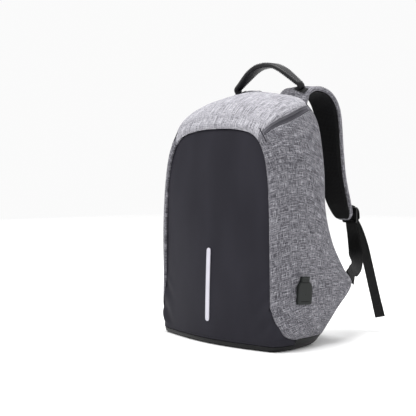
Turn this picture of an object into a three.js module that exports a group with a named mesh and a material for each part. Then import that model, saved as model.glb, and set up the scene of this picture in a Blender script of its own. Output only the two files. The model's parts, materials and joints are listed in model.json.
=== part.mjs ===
// An anti theft backpack that stands on its base, as an assembly of its sewn panels, straps and fittings.
// Millimetres, +Z up. The front faces -Y, the wearer's back is at +Y, and the origin is on the floor.
import * as THREE from "three";

// Driving sizes of the bag
const bagHeight = 453; // floor to the level of the top's highest part
const bagHalfWidth = 160; // middle to the widest place of the sides
const frontDepth = 76; // origin to the edge of the front panel
const backDepth = 122; // origin to the lower rear edge, the deepest place
const frontBelly = 20; // how far the front panel swells in front of its own edge
const sideWall = 3;
const topWall = 3;
const frontWall = 5; // cloth over a stiff board
const baseWall = 5;
const rearWall = 3;
const padWall = 5;
const seamGap = 0.5; // clearance between two panels at a seam
const seatGap = 0.4; // clearance under a piece that lies on a panel
const frontRecess = 4; // how deep the edge of the front panel lies behind the grey lip
const baseRound = 8; // radius between the floor and the sides
const frontHem = 10; // height of the seam at the foot of the front panel
const foldLift = 7; // how far the top panel's roll stands proud above the fold
const padBulge = 5;
const padChannel = 0.13; // half width of the middle channel, as a share of the pad's half width

// Driving sizes of the straps and fittings
const strapThick = 9;
const strapWidth = 64;
const strapAcross = 84; // middle of the bag to the middle of a hanging strap
const strapReach = 134; // back of the bag to the tip of a strap
const liningThick = 1.5;
const liningMargin = 3.5; // grey edge that shows beside the lining
const webWidth = 27;
const webThick = 1.6;
const tailDrop = 205; // height of the free end from its adjuster to its cut
const handleSpan = 160; // middle of one foot to the middle of the other
const handleRise = 43;
const handleWidth = 26;
const handleThick = 8;
const handleBack = 63; // origin to the middle of the handle
const stripWidth = 10.5;
const stripFoot = 41;
const stripLength = 131;
const stripThick = 1;
const usbWidth = 31;
const usbHeight = 48;
const usbThick = 7;
const usbUp = 105;
const usbDepthShare = 0.29; // place on the side panel, from its front edge (0) to its rear edge (1)
const lockWidth = 34;
const lockHeight = 30;
const lockThick = 4;
const lockBar = 4;

// Rows of numbers as objects with named columns.
function table(columns, rows) {
  return rows.map((row) => Object.fromEntries(columns.map((name, i) => [name, row[i]])));
}

// Sections of the bag's skin, from the floor over the shoulder to the middle of the top. Across is a share
// of bagHalfWidth, up a share of bagHeight and rearBack a share of backDepth. The swell is added between
// the front edge and the rear edge.
const SECTIONS = table(
  ["frontAcross", "frontUp", "rearAcross", "rearUp", "rearBack", "swellAcross", "swellUp"],
  [
    [0.838, 0, 0.8, 0, 0.35, 0.09, 0], // floor
    [0.84, 0.044, 0.868, 0.044, 0.44, 0.11, 0], // hem
    [0.844, 0.128, 0.915, 0.132, 0.7, 0.122, 0], // low
    [0.842, 0.232, 0.945, 0.226, 1, 0.122, 0], // tip
    [0.838, 0.309, 0.95, 0.298, 0.8, 0.12, 0], // flank
    [0.832, 0.402, 0.945, 0.4, 0.56, 0.112, 0], // waist
    [0.825, 0.519, 0.93, 0.53, 0.42, 0.105, 0], // chest
    [0.805, 0.64, 0.91, 0.7, 0.41, 0.1, 0.012], // upper
    [0.744, 0.745, 0.815, 0.87, 0.41, 0.08, 0.045], // shoulder
    [0.606, 0.814, 0.61, 0.948, 0.41, 0.068, 0.06], // corner
    [0.35, 0.841, 0.34, 0.974, 0.41, 0.03, 0.072], // crown
    [0, 0.848, 0, 0.985, 0.41, 0, 0.076], // top
  ],
);
const HEM = 1;
const TIP = 3;
const TOP = SECTIONS.length - 1;
const FOLD = 8.72; // section at which the top panel meets the side panel
const FOLD_SAG = 0.3; // how far the middle of the fold lies below that section, in sections
const CORNER_TOP = 2.4; // section at which the black cloth starts to run round the lower front corner
const CORNER_REACH = 0.35; // share of the side that the black cloth takes at the hem
const SWELL_RISE = 0.42;
const SWELL_FALL = 0.7;
const FRONT_RIM = 0.016; // share of the side along its front edge whose wall runs straight back

// Route of a shoulder strap, from its root behind the top seam to its tip. Across is a share of
// strapAcross, back a share of strapReach behind the bag, up a share of bagHeight, and width a share of
// strapWidth. Lean is the angle at which the width points down.
const STRAP_ROUTE = [
  { place: "root", across: 0.72, back: 0.041, up: 0.93, width: 1.2, lean: 18 },
  { place: "seam", across: 0.755, back: 0.041, up: 0.976, width: 1.16, lean: 16 },
  { place: "rise", across: 0.81, back: 0.115, up: 1.01, width: 1.1, lean: 12 },
  { place: "crest", across: 0.885, back: 0.28, up: 1.017, width: 1.03, lean: 6 },
  { place: "over", across: 0.95, back: 0.475, up: 0.99, width: 1, lean: 2 },
  { place: "drop", across: 0.98, back: 0.6, up: 0.93, width: 1, lean: 0 },
  { place: "chest", across: 0.985, back: 0.65, up: 0.84, width: 1, lean: 0 },
  { place: "middle", across: 1, back: 0.67, up: 0.745, width: 1, lean: 0 },
  { place: "low", across: 1, back: 0.73, up: 0.65, width: 0.98, lean: 0 },
  { place: "lower", across: 1, back: 0.835, up: 0.565, width: 0.92, lean: 0 },
  { place: "taper", across: 1, back: 0.94, up: 0.505, width: 0.74, lean: 0 },
  { place: "tip", across: 1, back: 0.985, up: 0.478, width: 0.42, lean: 0 },
];

const radians = THREE.MathUtils.degToRad;
const mix = THREE.MathUtils.lerp;
const clamp = THREE.MathUtils.clamp;
const smooth = THREE.MathUtils.smoothstep;

// Value of one column between two rows, on a smooth curve through the rows.
function readColumn(rows, name, position) {
  const last = rows.length - 1;
  const mirrored = rows === SECTIONS;
  const value = (row) => {
    if (row < 0) return 2 * rows[0][name] - rows[1][name];
    if (row <= last) return rows[row][name];
    if (!mirrored) return 2 * rows[last][name] - rows[last - 1][name];
    return rows[2 * last - row][name] * (name.endsWith("Across") ? -1 : 1);
  };
  const start = clamp(Math.floor(position), 0, last - 1);
  const f = position - start;
  const [a, b, c, d] = [start - 1, start, start + 1, start + 2].map(value);
  const cubic = 3 * b - a - 3 * c + d;
  const square = 2 * a - 5 * b + 4 * c - d;
  return b + (f * (c - a + f * (square + f * cubic))) / 2;
}

// Outward swell of the skin between its front edge (0) and its rear edge (1), 1 at its highest.
function swell(depth) {
  const peak = SWELL_RISE / (SWELL_RISE + SWELL_FALL);
  const shape = (share) => share ** SWELL_RISE * (1 - share) ** SWELL_FALL;
  return shape(depth) / shape(peak);
}

// A point on the outside of the bag's sides and top.
function skinPoint(section, depth, side) {
  const read = (name) => readColumn(SECTIONS, name, section);
  const across = mix(read("frontAcross"), read("rearAcross"), depth) + read("swellAcross") * swell(depth);
  const up = mix(read("frontUp"), read("rearUp"), depth) + read("swellUp") * swell(depth);
  const back = mix(-frontDepth, read("rearBack") * backDepth, depth);
  return new THREE.Vector3(side * across * bagHalfWidth, back, up * bagHeight);
}

// The skin's outward normal. At the front edge it points forward, and at the rear edge it lies in the
// plane of the seam.
function skinNormal(section, depth, side) {
  const nudge = 0.01;
  const along = skinPoint(section + nudge, depth, side).sub(skinPoint(section - nudge, depth, side));
  const backward = skinPoint(section, Math.min(depth + nudge, 1), side);
  backward.sub(skinPoint(section, Math.max(depth - nudge, 0), side));
  const outward = backward.cross(along).multiplyScalar(side);
  if (depth < FRONT_RIM) outward.set(0, -1, 0);
  if (depth === 1) outward.y = 0;
  return outward.normalize();
}

// Keeps the edge of a wall level where it stands on a level seam.
function levelled(point, isLevel) {
  if (isLevel && point.normal) point.normal.setZ(0).normalize();
  return point;
}

// A skin point that carries its normal, so that panels on both sides of a seam are thickened alike.
function skinVertex(section, depth, side) {
  const point = skinPoint(section, depth, side);
  point.normal = skinNormal(section, depth, side);
  return point;
}

function sectionAtHeight(up) {
  let low = 0;
  let high = TOP;
  for (let step = 0; step < 40; step += 1) {
    const middle = (low + high) / 2;
    if (readColumn(SECTIONS, "frontUp", middle) * bagHeight < up) low = middle;
    else high = middle;
  }
  return low;
}

// How far the black cloth has turned round the lower front corner, from 0 at CORNER_TOP to 1 at the hem.
const cornerTurn = (section) => clamp((CORNER_TOP - section) / (CORNER_TOP - HEM), 0, 1);

// Share of the side that the black cloth takes as it runs round the lower front corner.
const cornerEdge = (section) => CORNER_REACH * (1 - Math.sqrt(1 - cornerTurn(section) ** 2));

// A point on the front panel inside its arched edge. Across runs from -1 to 1.
function facePoint(section, across) {
  const up = readColumn(SECTIONS, "frontUp", section) * bagHeight;
  const half = readColumn(SECTIONS, "frontAcross", section) * bagHalfWidth;
  const archTop = SECTIONS[TOP].frontUp * bagHeight;
  const rise = up / archTop;
  const belly = frontBelly * (1 - rise * rise) * (1 - across * across) ** 1.25;
  const openEdge = smooth(section, CORNER_TOP, CORNER_TOP + 0.6);
  const nearEdge = 1 - (1 - openEdge * Math.abs(across) ** 12) * (1 - rise ** 36);
  const reach = Math.max(half - seamGap, 0);
  return new THREE.Vector3(across * reach, -frontDepth - belly + frontRecess * nearEdge, up);
}

function frontY(up) {
  return facePoint(sectionAtHeight(up), 0).y;
}

// An open surface made of quads, with points that coincide merged.
class Surface {
  constructor() {
    this.points = [];
    this.faces = [];
    this.known = new Map();
  }
  add(point) {
    const key = [point.x, point.y, point.z].map((value) => Math.round(value * 2000)).join();
    if (!this.known.has(key)) {
      this.known.set(key, this.points.length);
      this.points.push(point);
    }
    return this.known.get(key);
  }
  face(a, b, c) {
    if (a !== b && b !== c && c !== a) this.faces.push([a, b, c]);
  }
  // Two triangles between four points, split along the shorter diagonal.
  quad(a, b, c, d) {
    const length = (from, to) => this.points[from].distanceTo(this.points[to]);
    if (length(a, c) <= length(b, d) + 0.001) {
      this.face(a, b, c);
      this.face(a, c, d);
    } else {
      this.face(a, b, d);
      this.face(b, c, d);
    }
  }
  grid(rows) {
    const ids = rows.map((row) => row.map((point) => this.add(point)));
    for (let r = 0; r + 1 < ids.length; r += 1) {
      for (let c = 0; c + 1 < ids[r].length; c += 1) {
        this.quad(ids[r][c], ids[r][c + 1], ids[r + 1][c + 1], ids[r + 1][c]);
      }
    }
    return this;
  }
  // Outward normals. Turn is -1 where the quads run the other way round.
  normals(turn) {
    const sums = this.points.map(() => new THREE.Vector3());
    for (const [a, b, c] of this.faces) {
      const edge = new THREE.Vector3().subVectors(this.points[b], this.points[a]);
      const other = new THREE.Vector3().subVectors(this.points[c], this.points[a]);
      const normal = edge.cross(other);
      for (const id of [a, b, c]) sums[id].add(normal);
    }
    return sums.map((sum, id) => this.points[id].normal ?? sum.normalize().multiplyScalar(turn));
  }
}

function solidFromFaces(points, faces) {
  let volume = 0;
  for (const [a, b, c] of faces) volume += points[a].dot(points[b].clone().cross(points[c]));
  const turned = volume < 0 ? faces.map(([a, b, c]) => [a, c, b]) : faces;
  const geometry = new THREE.BufferGeometry().setFromPoints(points);
  geometry.setIndex(turned.flat());
  geometry.computeVertexNormals();
  return geometry;
}

// A closed wall: the surface, a copy of it moved inward, and the strips that join their edges.
function thicken(surface, thickness, turn = 1) {
  const normals = surface.normals(turn);
  const count = surface.points.length;
  const inner = surface.points.map((point, id) => point.clone().addScaledVector(normals[id], -thickness));
  const faces = [...surface.faces, ...surface.faces.map(([a, b, c]) => [a + count, c + count, b + count])];
  const edges = new Set(surface.faces.flatMap(([a, b, c]) => [`${a},${b}`, `${b},${c}`, `${c},${a}`]));
  for (const edge of edges) {
    const [a, b] = edge.split(",").map(Number);
    if (edges.has(`${b},${a}`)) continue;
    if (surface.points[a].distanceTo(inner[b]) <= surface.points[b].distanceTo(inner[a])) {
      faces.push([a, a + count, b + count], [a, b + count, b]);
    } else {
      faces.push([a, a + count, b], [a + count, b + count, b]);
    }
  }
  return solidFromFaces([...surface.points, ...inner], faces);
}

// A closed body through rings with the same number of points, with flat ends. A ring starts at one side,
// and the diagonals of its second half are turned, so that both faces of a flat body are folded alike.
function skinRings(rings) {
  const size = rings[0].length;
  const points = rings.flat();
  const faces = [];
  for (let r = 0; r + 1 < rings.length; r += 1) {
    for (let c = 0; c < size; c += 1) {
      const next = (c + 1) % size;
      const [a, b, d, e] = [r * size + c, r * size + next, (r + 1) * size + next, (r + 1) * size + c];
      if (c < size / 2) faces.push([a, b, d], [a, d, e]);
      else faces.push([a, b, e], [b, d, e]);
    }
  }
  const end = (rings.length - 1) * size;
  for (let c = 1; c + 1 < size; c += 1) {
    faces.push([0, c + 1, c], [end, end + c, end + c + 1]);
  }
  return solidFromFaces(points, faces);
}

// A rounded flat section, as offsets along the width and the thickness.
function padSection(width, thick) {
  const steps = 4;
  const round = thick / 2;
  const flat = Math.max(width / 2 - round, 0.1);
  return [1, -1].flatMap((end) =>
    Array.from({ length: steps + 1 }, (_, step) => {
      const angle = radians(-90 + (180 * step) / steps);
      return [end * (flat + round * Math.cos(angle)), end * round * Math.sin(angle)];
    }),
  );
}

const flatSection = (width, thick) => [
  [width / 2, -thick / 2],
  [width / 2, thick / 2],
  [-width / 2, thick / 2],
  [-width / 2, -thick / 2],
];

// Frames along a route: the centre, the axis of the width and the axis of the thickness.
function framesAlong(centres, widthAxes) {
  return centres.map((centre, i) => {
    const before = centres[Math.max(i - 1, 0)];
    const after = centres[Math.min(i + 1, centres.length - 1)];
    const along = new THREE.Vector3().subVectors(after, before).normalize();
    const wide = widthAxes[i].clone().addScaledVector(along, -widthAxes[i].dot(along)).normalize();
    return { centre, wide, thick: new THREE.Vector3().crossVectors(wide, along) };
  });
}

function placeSection(frame, section, shift = 0) {
  return section.map(([w, t]) =>
    frame.centre.clone().addScaledVector(frame.wide, w).addScaledVector(frame.thick, t + shift),
  );
}

const steps = (from, to, count) => Array.from({ length: count + 1 }, (_, i) => mix(from, to, i / count));
const mirrorX = (point, side) => new THREE.Vector3(point.x * side, point.y, point.z);

// Panels of the bag

const CORNER_ROWS = [0, 0.1, 0.22, 0.36, 0.52, 0.72, 1];
const SIDE_COLUMNS = [0, 0.08, 0.17, 0.28, 0.4, 0.53, 0.66, 0.78, 0.89, 1];
const spreadDepth = (column) => column ** 1.6;
const FACE_COLUMNS = [0, 0.3, 0.58, 0.8, 0.92, 0.985];
const SIDE_STEPS = steps(0, 1, 13).slice(1);
const TOP_STEPS = [0, 0.035, 0.07, 0.11, 0.17, 0.26, 0.4, 0.55, 0.7, 0.85, 1];

// Bow of the fold between its two stitched ends, 0 at the ends and 1 at the middle.
const foldBow = (depth) => Math.sin(Math.PI * clamp(depth, 0, 1)) ** 0.8;

// Section of the seam at the fold, which runs straight while the skin above it is bowed.
const foldSection = (depth) => FOLD - FOLD_SAG * foldBow(depth);

function sidePanel(side) {
  const lower = CORNER_ROWS.map((share) => {
    const section = mix(HEM, CORNER_TOP, share);
    const front = cornerEdge(section);
    return SIDE_COLUMNS.map((column) =>
      levelled(skinVertex(section, mix(front, 1, spreadDepth(column)), side), section === HEM),
    );
  });
  const upper = SIDE_STEPS.map((share) =>
    SIDE_COLUMNS.map((column) => {
      const depth = spreadDepth(column);
      return skinVertex(mix(CORNER_TOP, foldSection(depth), share), depth, side);
    }),
  );
  return thicken(new Surface().grid([...lower, ...upper]), sideWall);
}

// Profile of the top panel from the fold (0) to the middle of the top (1): a sunk strip, then a proud
// roll. Lift is a share of foldLift.
const FOLD_PROFILE = [
  { share: 0, lift: 0 },
  { share: 0.035, lift: -0.15 },
  { share: 0.07, lift: -0.05 },
  { share: 0.11, lift: 0.7 },
  { share: 0.17, lift: 1 },
  { share: 0.26, lift: 0.85 },
  { share: 0.55, lift: 0.25 },
  { share: 0.8, lift: 0 },
  { share: 1, lift: 0 },
];

function foldProfile(share) {
  const next = Math.max(FOLD_PROFILE.findIndex((row) => row.share >= share), 1);
  const [low, high] = [FOLD_PROFILE[next - 1], FOLD_PROFILE[next]];
  return mix(low.lift, high.lift, (share - low.share) / (high.share - low.share));
}

// Share of a section that the clearance at the fold takes.
const foldGap = seamGap / skinPoint(FOLD + 0.5, 0.5, 1).distanceTo(skinPoint(FOLD - 0.5, 0.5, 1));

function topPanelVertex(share, depth, side) {
  const point = skinVertex(mix(foldSection(depth) + foldGap, TOP, share), depth, side);
  return point.addScaledVector(point.normal, foldLift * foldBow(depth) * foldProfile(share));
}

function topPanel() {
  const columns = SIDE_COLUMNS.map(spreadDepth);
  const half = (side) =>
    TOP_STEPS.map((share) => columns.map((depth) => topPanelVertex(share, depth, side)));
  const left = half(-1).slice(0, -1).reverse();
  return thicken(new Surface().grid([...half(1), ...left]), topWall);
}

// Depth that lies a given distance in front of another one on the skin.
function depthBefore(section, depth, distance) {
  const target = skinPoint(section, depth, 1);
  if (target.distanceTo(skinPoint(section, 0, 1)) <= distance) return 0;
  let low = 0;
  let high = depth;
  for (let step = 0; step < 30; step += 1) {
    const middle = (low + high) / 2;
    if (skinPoint(section, middle, 1).distanceTo(target) > distance) low = middle;
    else high = middle;
  }
  return low;
}

// Clearance of the front panel along the skin, in seam gaps, and what the turn round the corner adds to it
const frontSlant = 1.8;
const cornerSlant = 3;

function frontPanel() {
  const hemSection = sectionAtHeight(frontHem);
  const lower = [hemSection, ...CORNER_ROWS.map((share) => mix(HEM, CORNER_TOP, share))];
  const upper = steps(CORNER_TOP, TOP, 16).slice(1);
  const cornerColumns = [0, 0.3, 0.65, 1];
  const half = (section, side) => {
    const slant = frontSlant + cornerSlant * cornerTurn(section) ** 2;
    const edge = depthBefore(section, cornerEdge(section), seamGap * slant);
    const face = FACE_COLUMNS.map((across) => facePoint(section, side * across));
    const corner = cornerColumns.map((column) => {
      if (edge === 0 || column === 0) return facePoint(section, side);
      return levelled(skinVertex(section, edge * column ** 1.6, side), section === hemSection);
    });
    return [...face, ...corner];
  };
  const rows = [...lower, ...upper].map((section) => [
    ...half(section, -1).reverse(),
    ...half(section, 1).slice(1),
  ]);
  return thicken(new Surface().grid(rows), frontWall);
}

// The black base: flat underneath, rounded up to the seams of the panels that stand on it.
function baseTray() {
  const sideTop = SECTIONS[HEM].frontUp * bagHeight - seamGap;
  const frontTop = frontHem - seamGap;
  const stepDepth = CORNER_REACH + seamGap / frontDepth;
  const lowDepths = [0.02, 0.07, 0.15, 0.25, stepDepth];
  const highDepths = [stepDepth + 0.004, 0.5, 0.66, 0.82, 0.93, 1];
  const backColumns = [0.6, 0.2, -0.2, -0.6];
  const sideColumns = (side) => [
    ...lowDepths.map((depth) => ({ top: frontTop, at: (section) => skinPoint(section, depth, side) })),
    ...highDepths.map((depth) => ({ top: sideTop, at: (section) => skinPoint(section, depth, side) })),
  ];
  const faceHalf = (side) =>
    FACE_COLUMNS.map((across) => ({ top: frontTop, at: (section) => facePoint(section, side * across) }));
  const back = backColumns.map((across) => ({
    top: sideTop,
    at: (section) => {
      const corner = skinPoint(section, 1, 1);
      return new THREE.Vector3(corner.x * across, corner.y, corner.z);
    },
  }));
  const ring = [
    ...faceHalf(1),
    ...sideColumns(1),
    ...back,
    ...sideColumns(-1).reverse(),
    ...faceHalf(-1).slice(1).reverse(),
  ];
  const edgePoint = (column, up) => {
    const place = (index) => ring[(index + ring.length) % ring.length].at((HEM * up) / (sideTop + seamGap));
    const along = place(column + 1).sub(place(column - 1));
    const inward = new THREE.Vector3(-along.y, along.x, 0).normalize();
    const low = Math.max(baseRound - up, 0);
    const point = place(column).addScaledVector(inward, baseRound - Math.sqrt(baseRound ** 2 - low ** 2));
    if (up >= baseRound) point.normal = inward.negate();
    return point.setZ(up);
  };
  const columns = [...ring.keys(), 0];
  const wallRows = [0, 0.12, 0.35, 0.65, 1]
    .map((share) => columns.map((column) => edgePoint(column, share * baseRound)))
    .concat([columns.map((column) => edgePoint(column, ring[column].top))]);
  const middle = new THREE.Vector3(0, 0, 0);
  return thicken(new Surface().grid([columns.map(() => middle), ...wallRows]), baseWall);
}

// A point of the rear outline for a panel of the given thickness that lies inside the skin's wall.
function rearRim(section, thickness) {
  const nudge = 0.02;
  const edge = skinPoint(section, 1, 1);
  const along = skinPoint(Math.min(section + nudge, TOP), 1, 1).sub(skinPoint(section - nudge, 1, 1));
  const outward = new THREE.Vector3(along.z, 0, -along.x).normalize();
  const innerDepth = 1 - (thickness + seamGap) / (frontDepth + edge.y);
  const fromEdge = skinPoint(section, innerDepth, 1).sub(edge).dot(outward);
  const inset = Math.max(sideWall, topWall) + seamGap;
  const rim = edge.clone().addScaledVector(outward, Math.min(fromEdge, 0) - inset);
  if (section === TOP) rim.x = 0;
  return rim;
}

const REAR_COLUMNS = [-1, -0.94, -0.8, -0.6, -0.4, -0.2, -0.08, 0, 0.08, 0.2, 0.4, 0.6, 0.8, 0.94, 1];

function rearPoint(rim, across, rise) {
  const point = new THREE.Vector3(rim.x * across, rim.y + rise, rim.z);
  point.normal = new THREE.Vector3(0, 1, 0);
  return point;
}

function rearLowerPanel() {
  const rows = steps(HEM + 0.02, TIP - 0.02, 5).map((section) => {
    const rim = rearRim(section, rearWall);
    return [-1, -0.6, -0.2, 0.2, 0.6, 1].map((across) => rearPoint(rim, across, 0));
  });
  return thicken(new Surface().grid(rows), rearWall);
}

const PAD_FOOT = [0.22, 0.3]; // heights between which the padding rises, as shares of bagHeight
const PAD_HEAD = [0.8, 0.88]; // heights between which it falls off again

// Height of the padding of the back above its edge: two long cushions with a channel between them.
function padRise(across, up) {
  const channel = 1 - Math.exp(-((across / padChannel) ** 2));
  const rim = 1 - Math.abs(across) ** 6;
  const foot = smooth(up, ...PAD_FOOT);
  const head = 1 - smooth(up, ...PAD_HEAD);
  return padBulge * channel * rim * foot * head;
}

function backPad() {
  const sides = SIDE_STEPS.map((share) => mix(CORNER_TOP, FOLD, share));
  const above = sides.filter((section) => section > TIP + 0.1);
  const crown = TOP_STEPS.map((share) => mix(FOLD + foldGap, TOP, share));
  const rows = [TIP + 0.02, ...above, ...crown].map((section) => {
    const rim = rearRim(section, padWall);
    return REAR_COLUMNS.map((across) => rearPoint(rim, across, padRise(across, rim.z / bagHeight)));
  });
  return thicken(new Surface().grid(rows), padWall);
}

// Straps

const bagBackY = SECTIONS[TOP].rearBack * backDepth;

function strapPoint(position) {
  const read = (name) => readColumn(STRAP_ROUTE, name, position);
  return new THREE.Vector3(
    read("across") * strapAcross,
    bagBackY + read("back") * strapReach,
    read("up") * bagHeight,
  );
}

function strapFrames(positions) {
  const centres = positions.map(strapPoint);
  const axes = positions.map((position) => {
    const lean = radians(readColumn(STRAP_ROUTE, "lean", position));
    return new THREE.Vector3(Math.cos(lean), 0, -Math.sin(lean));
  });
  return framesAlong(centres, axes);
}

const strapWidthAt = (position) => readColumn(STRAP_ROUTE, "width", position) * strapWidth;
const STRAP_END = STRAP_ROUTE.length - 1;
const STRAP_STEPS = steps(0, STRAP_END, 26);
const LINING_FROM = 5; // step of the strap at which its lining starts

function shoulderStrap(side) {
  const rings = strapFrames(STRAP_STEPS).map((frame, i) =>
    placeSection(frame, padSection(strapWidthAt(STRAP_STEPS[i]), strapThick)),
  );
  return skinRings(rings.map((ring) => ring.map((point) => mirrorX(point, side))));
}

function strapLining(side) {
  const shift = -(strapThick / 2 + seatGap + liningThick / 2);
  const frames = strapFrames(STRAP_STEPS).slice(LINING_FROM, -1);
  const rings = frames.map((frame, i) => {
    const width = strapWidthAt(STRAP_STEPS[LINING_FROM + i]) - 2 * liningMargin;
    return placeSection(frame, flatSection(width, liningThick), shift);
  });
  return skinRings(rings.map((ring) => ring.map((point) => mirrorX(point, side))));
}

// Strap fittings

const tabPlace = 8.75; // place on the strap's route where the tab is sewn on
const tabReach = 0.7; // how far it follows the strap, in rows of the route
const lockBack = 14; // tip of the strap to the middle of the adjuster
const lockUp = 8;
const lockRound = 4;
const slotRound = 1.5;
const lockMiddle = new THREE.Vector3(
  strapAcross,
  bagBackY + strapReach + lockBack,
  strapPoint(STRAP_END).z + lockUp,
);

function ribbon(rows, width, thick, side) {
  const centres = rows.map((row) => row.at);
  const frames = framesAlong(centres, rows.map((row) => row.wide));
  const rings = frames.map((frame, i) => placeSection(rows[i].fixed ?? frame, flatSection(width, thick)));
  return skinRings(rings.map((ring) => ring.map((point) => mirrorX(point, side))));
}

function adjusterTab(side) {
  const offset = strapThick / 2 + seatGap + webThick / 2;
  const wide = new THREE.Vector3(1, 0, 0);
  const sewn = strapFrames(steps(tabPlace, tabPlace + tabReach, 4));
  const rows = sewn.map(({ centre, thick }) => ({
    at: centre.clone().addScaledVector(thick, offset),
    wide,
  }));
  const barTop = lockMiddle.clone().add(new THREE.Vector3(0, 0, lockHeight / 2 + seatGap + webThick / 2));
  rows.push({ at: rows[rows.length - 1].at.clone().lerp(barTop, 0.55), wide });
  rows.push({ at: barTop, wide });
  return ribbon(rows, webWidth, webThick, side);
}

function ladderLock(side) {
  const outline = roundedBox(lockWidth, lockHeight, lockRound);
  const slotHeight = (lockHeight - 3 * lockBar) / 2;
  for (const row of [-1, 1]) {
    const slot = roundedBox(lockWidth - 2 * lockBar, slotHeight, slotRound);
    const shift = new THREE.Vector2(0, (row * (slotHeight + lockBar)) / 2);
    outline.holes.push(new THREE.Path(slot.getPoints(2).map((point) => point.add(shift))));
  }
  const geometry = new THREE.ExtrudeGeometry(outline, {
    depth: lockThick,
    bevelEnabled: false,
    curveSegments: 3,
  });
  geometry.translate(0, 0, -lockThick / 2);
  geometry.rotateX(Math.PI / 2);
  return geometry.translate(side * lockMiddle.x, lockMiddle.y, lockMiddle.z);
}

function roundedBox(width, height, radius) {
  const [x, y] = [width / 2, height / 2];
  return new THREE.Shape()
    .moveTo(-x + radius, -y)
    .lineTo(x - radius, -y)
    .absarc(x - radius, -y + radius, radius, -Math.PI / 2, 0)
    .lineTo(x, y - radius)
    .absarc(x - radius, y - radius, radius, 0, Math.PI / 2)
    .lineTo(-x + radius, y)
    .absarc(-x + radius, y - radius, radius, Math.PI / 2, Math.PI)
    .lineTo(-x, -y + radius)
    .absarc(-x + radius, -y + radius, radius, Math.PI, Math.PI * 1.5);
}

// Route of the lower webbing from behind its adjuster (0) to the seam at the lower rear edge (1). Turn is
// the angle of the webbing's width about the vertical, and dip the angle at which it points down.
const WEBBING_ROUTE = [
  { across: 0, back: 0, up: 0, turn: 0, dip: 0 },
  { across: 0, back: 0, up: 0.12, turn: 0, dip: 0 },
  { across: 0, back: -0.03, up: 0.26, turn: 0, dip: 0 },
  { across: 0, back: -0.1, up: 0.42, turn: 8, dip: 0 },
  { across: 0.02, back: -0.13, up: 0.58, turn: 14, dip: 0 },
  { across: 0.1, back: -0.1, up: 0.73, turn: 24, dip: 8 },
  { across: 0.34, back: 0.12, up: 0.85, turn: 42, dip: 26 },
  { across: 0.66, back: 0.46, up: 0.92, turn: 62, dip: 44 },
  { across: 0.9, back: 0.78, up: 0.96, turn: 82, dip: 54 },
];

// Route of the free end, from behind the webbing (0) to its cut (1).
const TAIL_ROUTE = [
  { across: 0, back: 0, up: 0, turn: 0 },
  { across: 0.01, back: 0.04, up: 0.07, turn: 0 },
  { across: 0.06, back: 0.4, up: 0.17, turn: 0 },
  { across: 0.2, back: 0.7, up: 0.32, turn: -4 },
  { across: 0.4, back: 0.84, up: 0.5, turn: -10 },
  { across: 0.68, back: 0.92, up: 0.74, turn: -10 },
  { across: 1, back: 1, up: 1, turn: -10 },
];
const tailSwing = new THREE.Vector2(44, 34); // how far the cut end lies outward and back of the adjuster
const anchorSection = 3.35;
const anchorLength = 13;
const anchorThick = 3;
const anchorSpread = 8; // how much wider than the webbing the anchor is at the seam
const anchorRoot = 0.3; // more clearance between the seam and the anchor
const anchorAim = new THREE.Vector3(-0.3, 0.9, 0.25); // the way it points, before it is squared to the seam
const webStraight = 6; // end of the webbing that runs straight up to the anchor
const webTop = 8; // height above the middle of the adjuster at which the webbing starts

const widthAxis = (turn, dip = 0) =>
  new THREE.Vector3(
    Math.cos(radians(turn)) * Math.cos(radians(dip)),
    Math.sin(radians(turn)) * Math.cos(radians(dip)),
    -Math.sin(radians(dip)),
  );

function anchorFrame() {
  const seam = skinPoint(anchorSection, 1, 1);
  const along = skinPoint(anchorSection + 0.1, 1, 1).sub(skinPoint(anchorSection - 0.1, 1, 1)).normalize();
  const outward = anchorAim.clone().addScaledVector(along, -anchorAim.dot(along)).normalize();
  return { seam, along, outward };
}

function webbingAnchor(side) {
  const { seam, along, outward } = anchorFrame();
  const wide = along.clone().negate();
  const start = seam.clone().add(new THREE.Vector3(-anchorThick / 2 - seatGap, 0, 0));
  const centres = [seatGap + anchorRoot, anchorLength / 2, anchorLength].map((reach) =>
    start.clone().addScaledVector(outward, reach),
  );
  const frames = framesAlong(centres, [wide, wide, wide]);
  const widths = [1, 0.625, 0.125].map((share) => webWidth + share * anchorSpread);
  const rings = frames.map((frame, i) => placeSection(frame, flatSection(widths[i], anchorThick)));
  return skinRings(rings.map((ring) => ring.map((point) => mirrorX(point, side))));
}

const behindLock = lockThick / 2 + seatGap + webThick / 2;
const webStart = lockMiddle.clone().add(new THREE.Vector3(0, behindLock, webTop));

function webEnd() {
  const { seam, outward } = anchorFrame();
  const start = seam.clone().add(new THREE.Vector3(-anchorThick / 2 - seatGap, 0, 0));
  return start.addScaledVector(outward, anchorLength + seatGap);
}

function lowerWebbing(side) {
  const end = webEnd();
  const rows = steps(0, WEBBING_ROUTE.length - 1, 20).map((position) => {
    const read = (name) => readColumn(WEBBING_ROUTE, name, position);
    const at = new THREE.Vector3(
      mix(webStart.x, end.x, read("across")),
      mix(webStart.y, end.y, read("back")),
      mix(webStart.z, end.z, read("up")),
    );
    return { at, wide: widthAxis(read("turn"), read("dip")) };
  });
  const { along, outward } = anchorFrame();
  const wide = along.negate();
  const thickAxis = new THREE.Vector3().crossVectors(wide, outward.clone().negate());
  for (const reach of [webStraight, 0]) {
    const centre = end.clone().addScaledVector(outward, reach);
    rows.push({ at: centre, wide, fixed: { centre, wide, thick: thickAxis } });
  }
  return ribbon(rows, webWidth, webThick, side);
}

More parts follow.
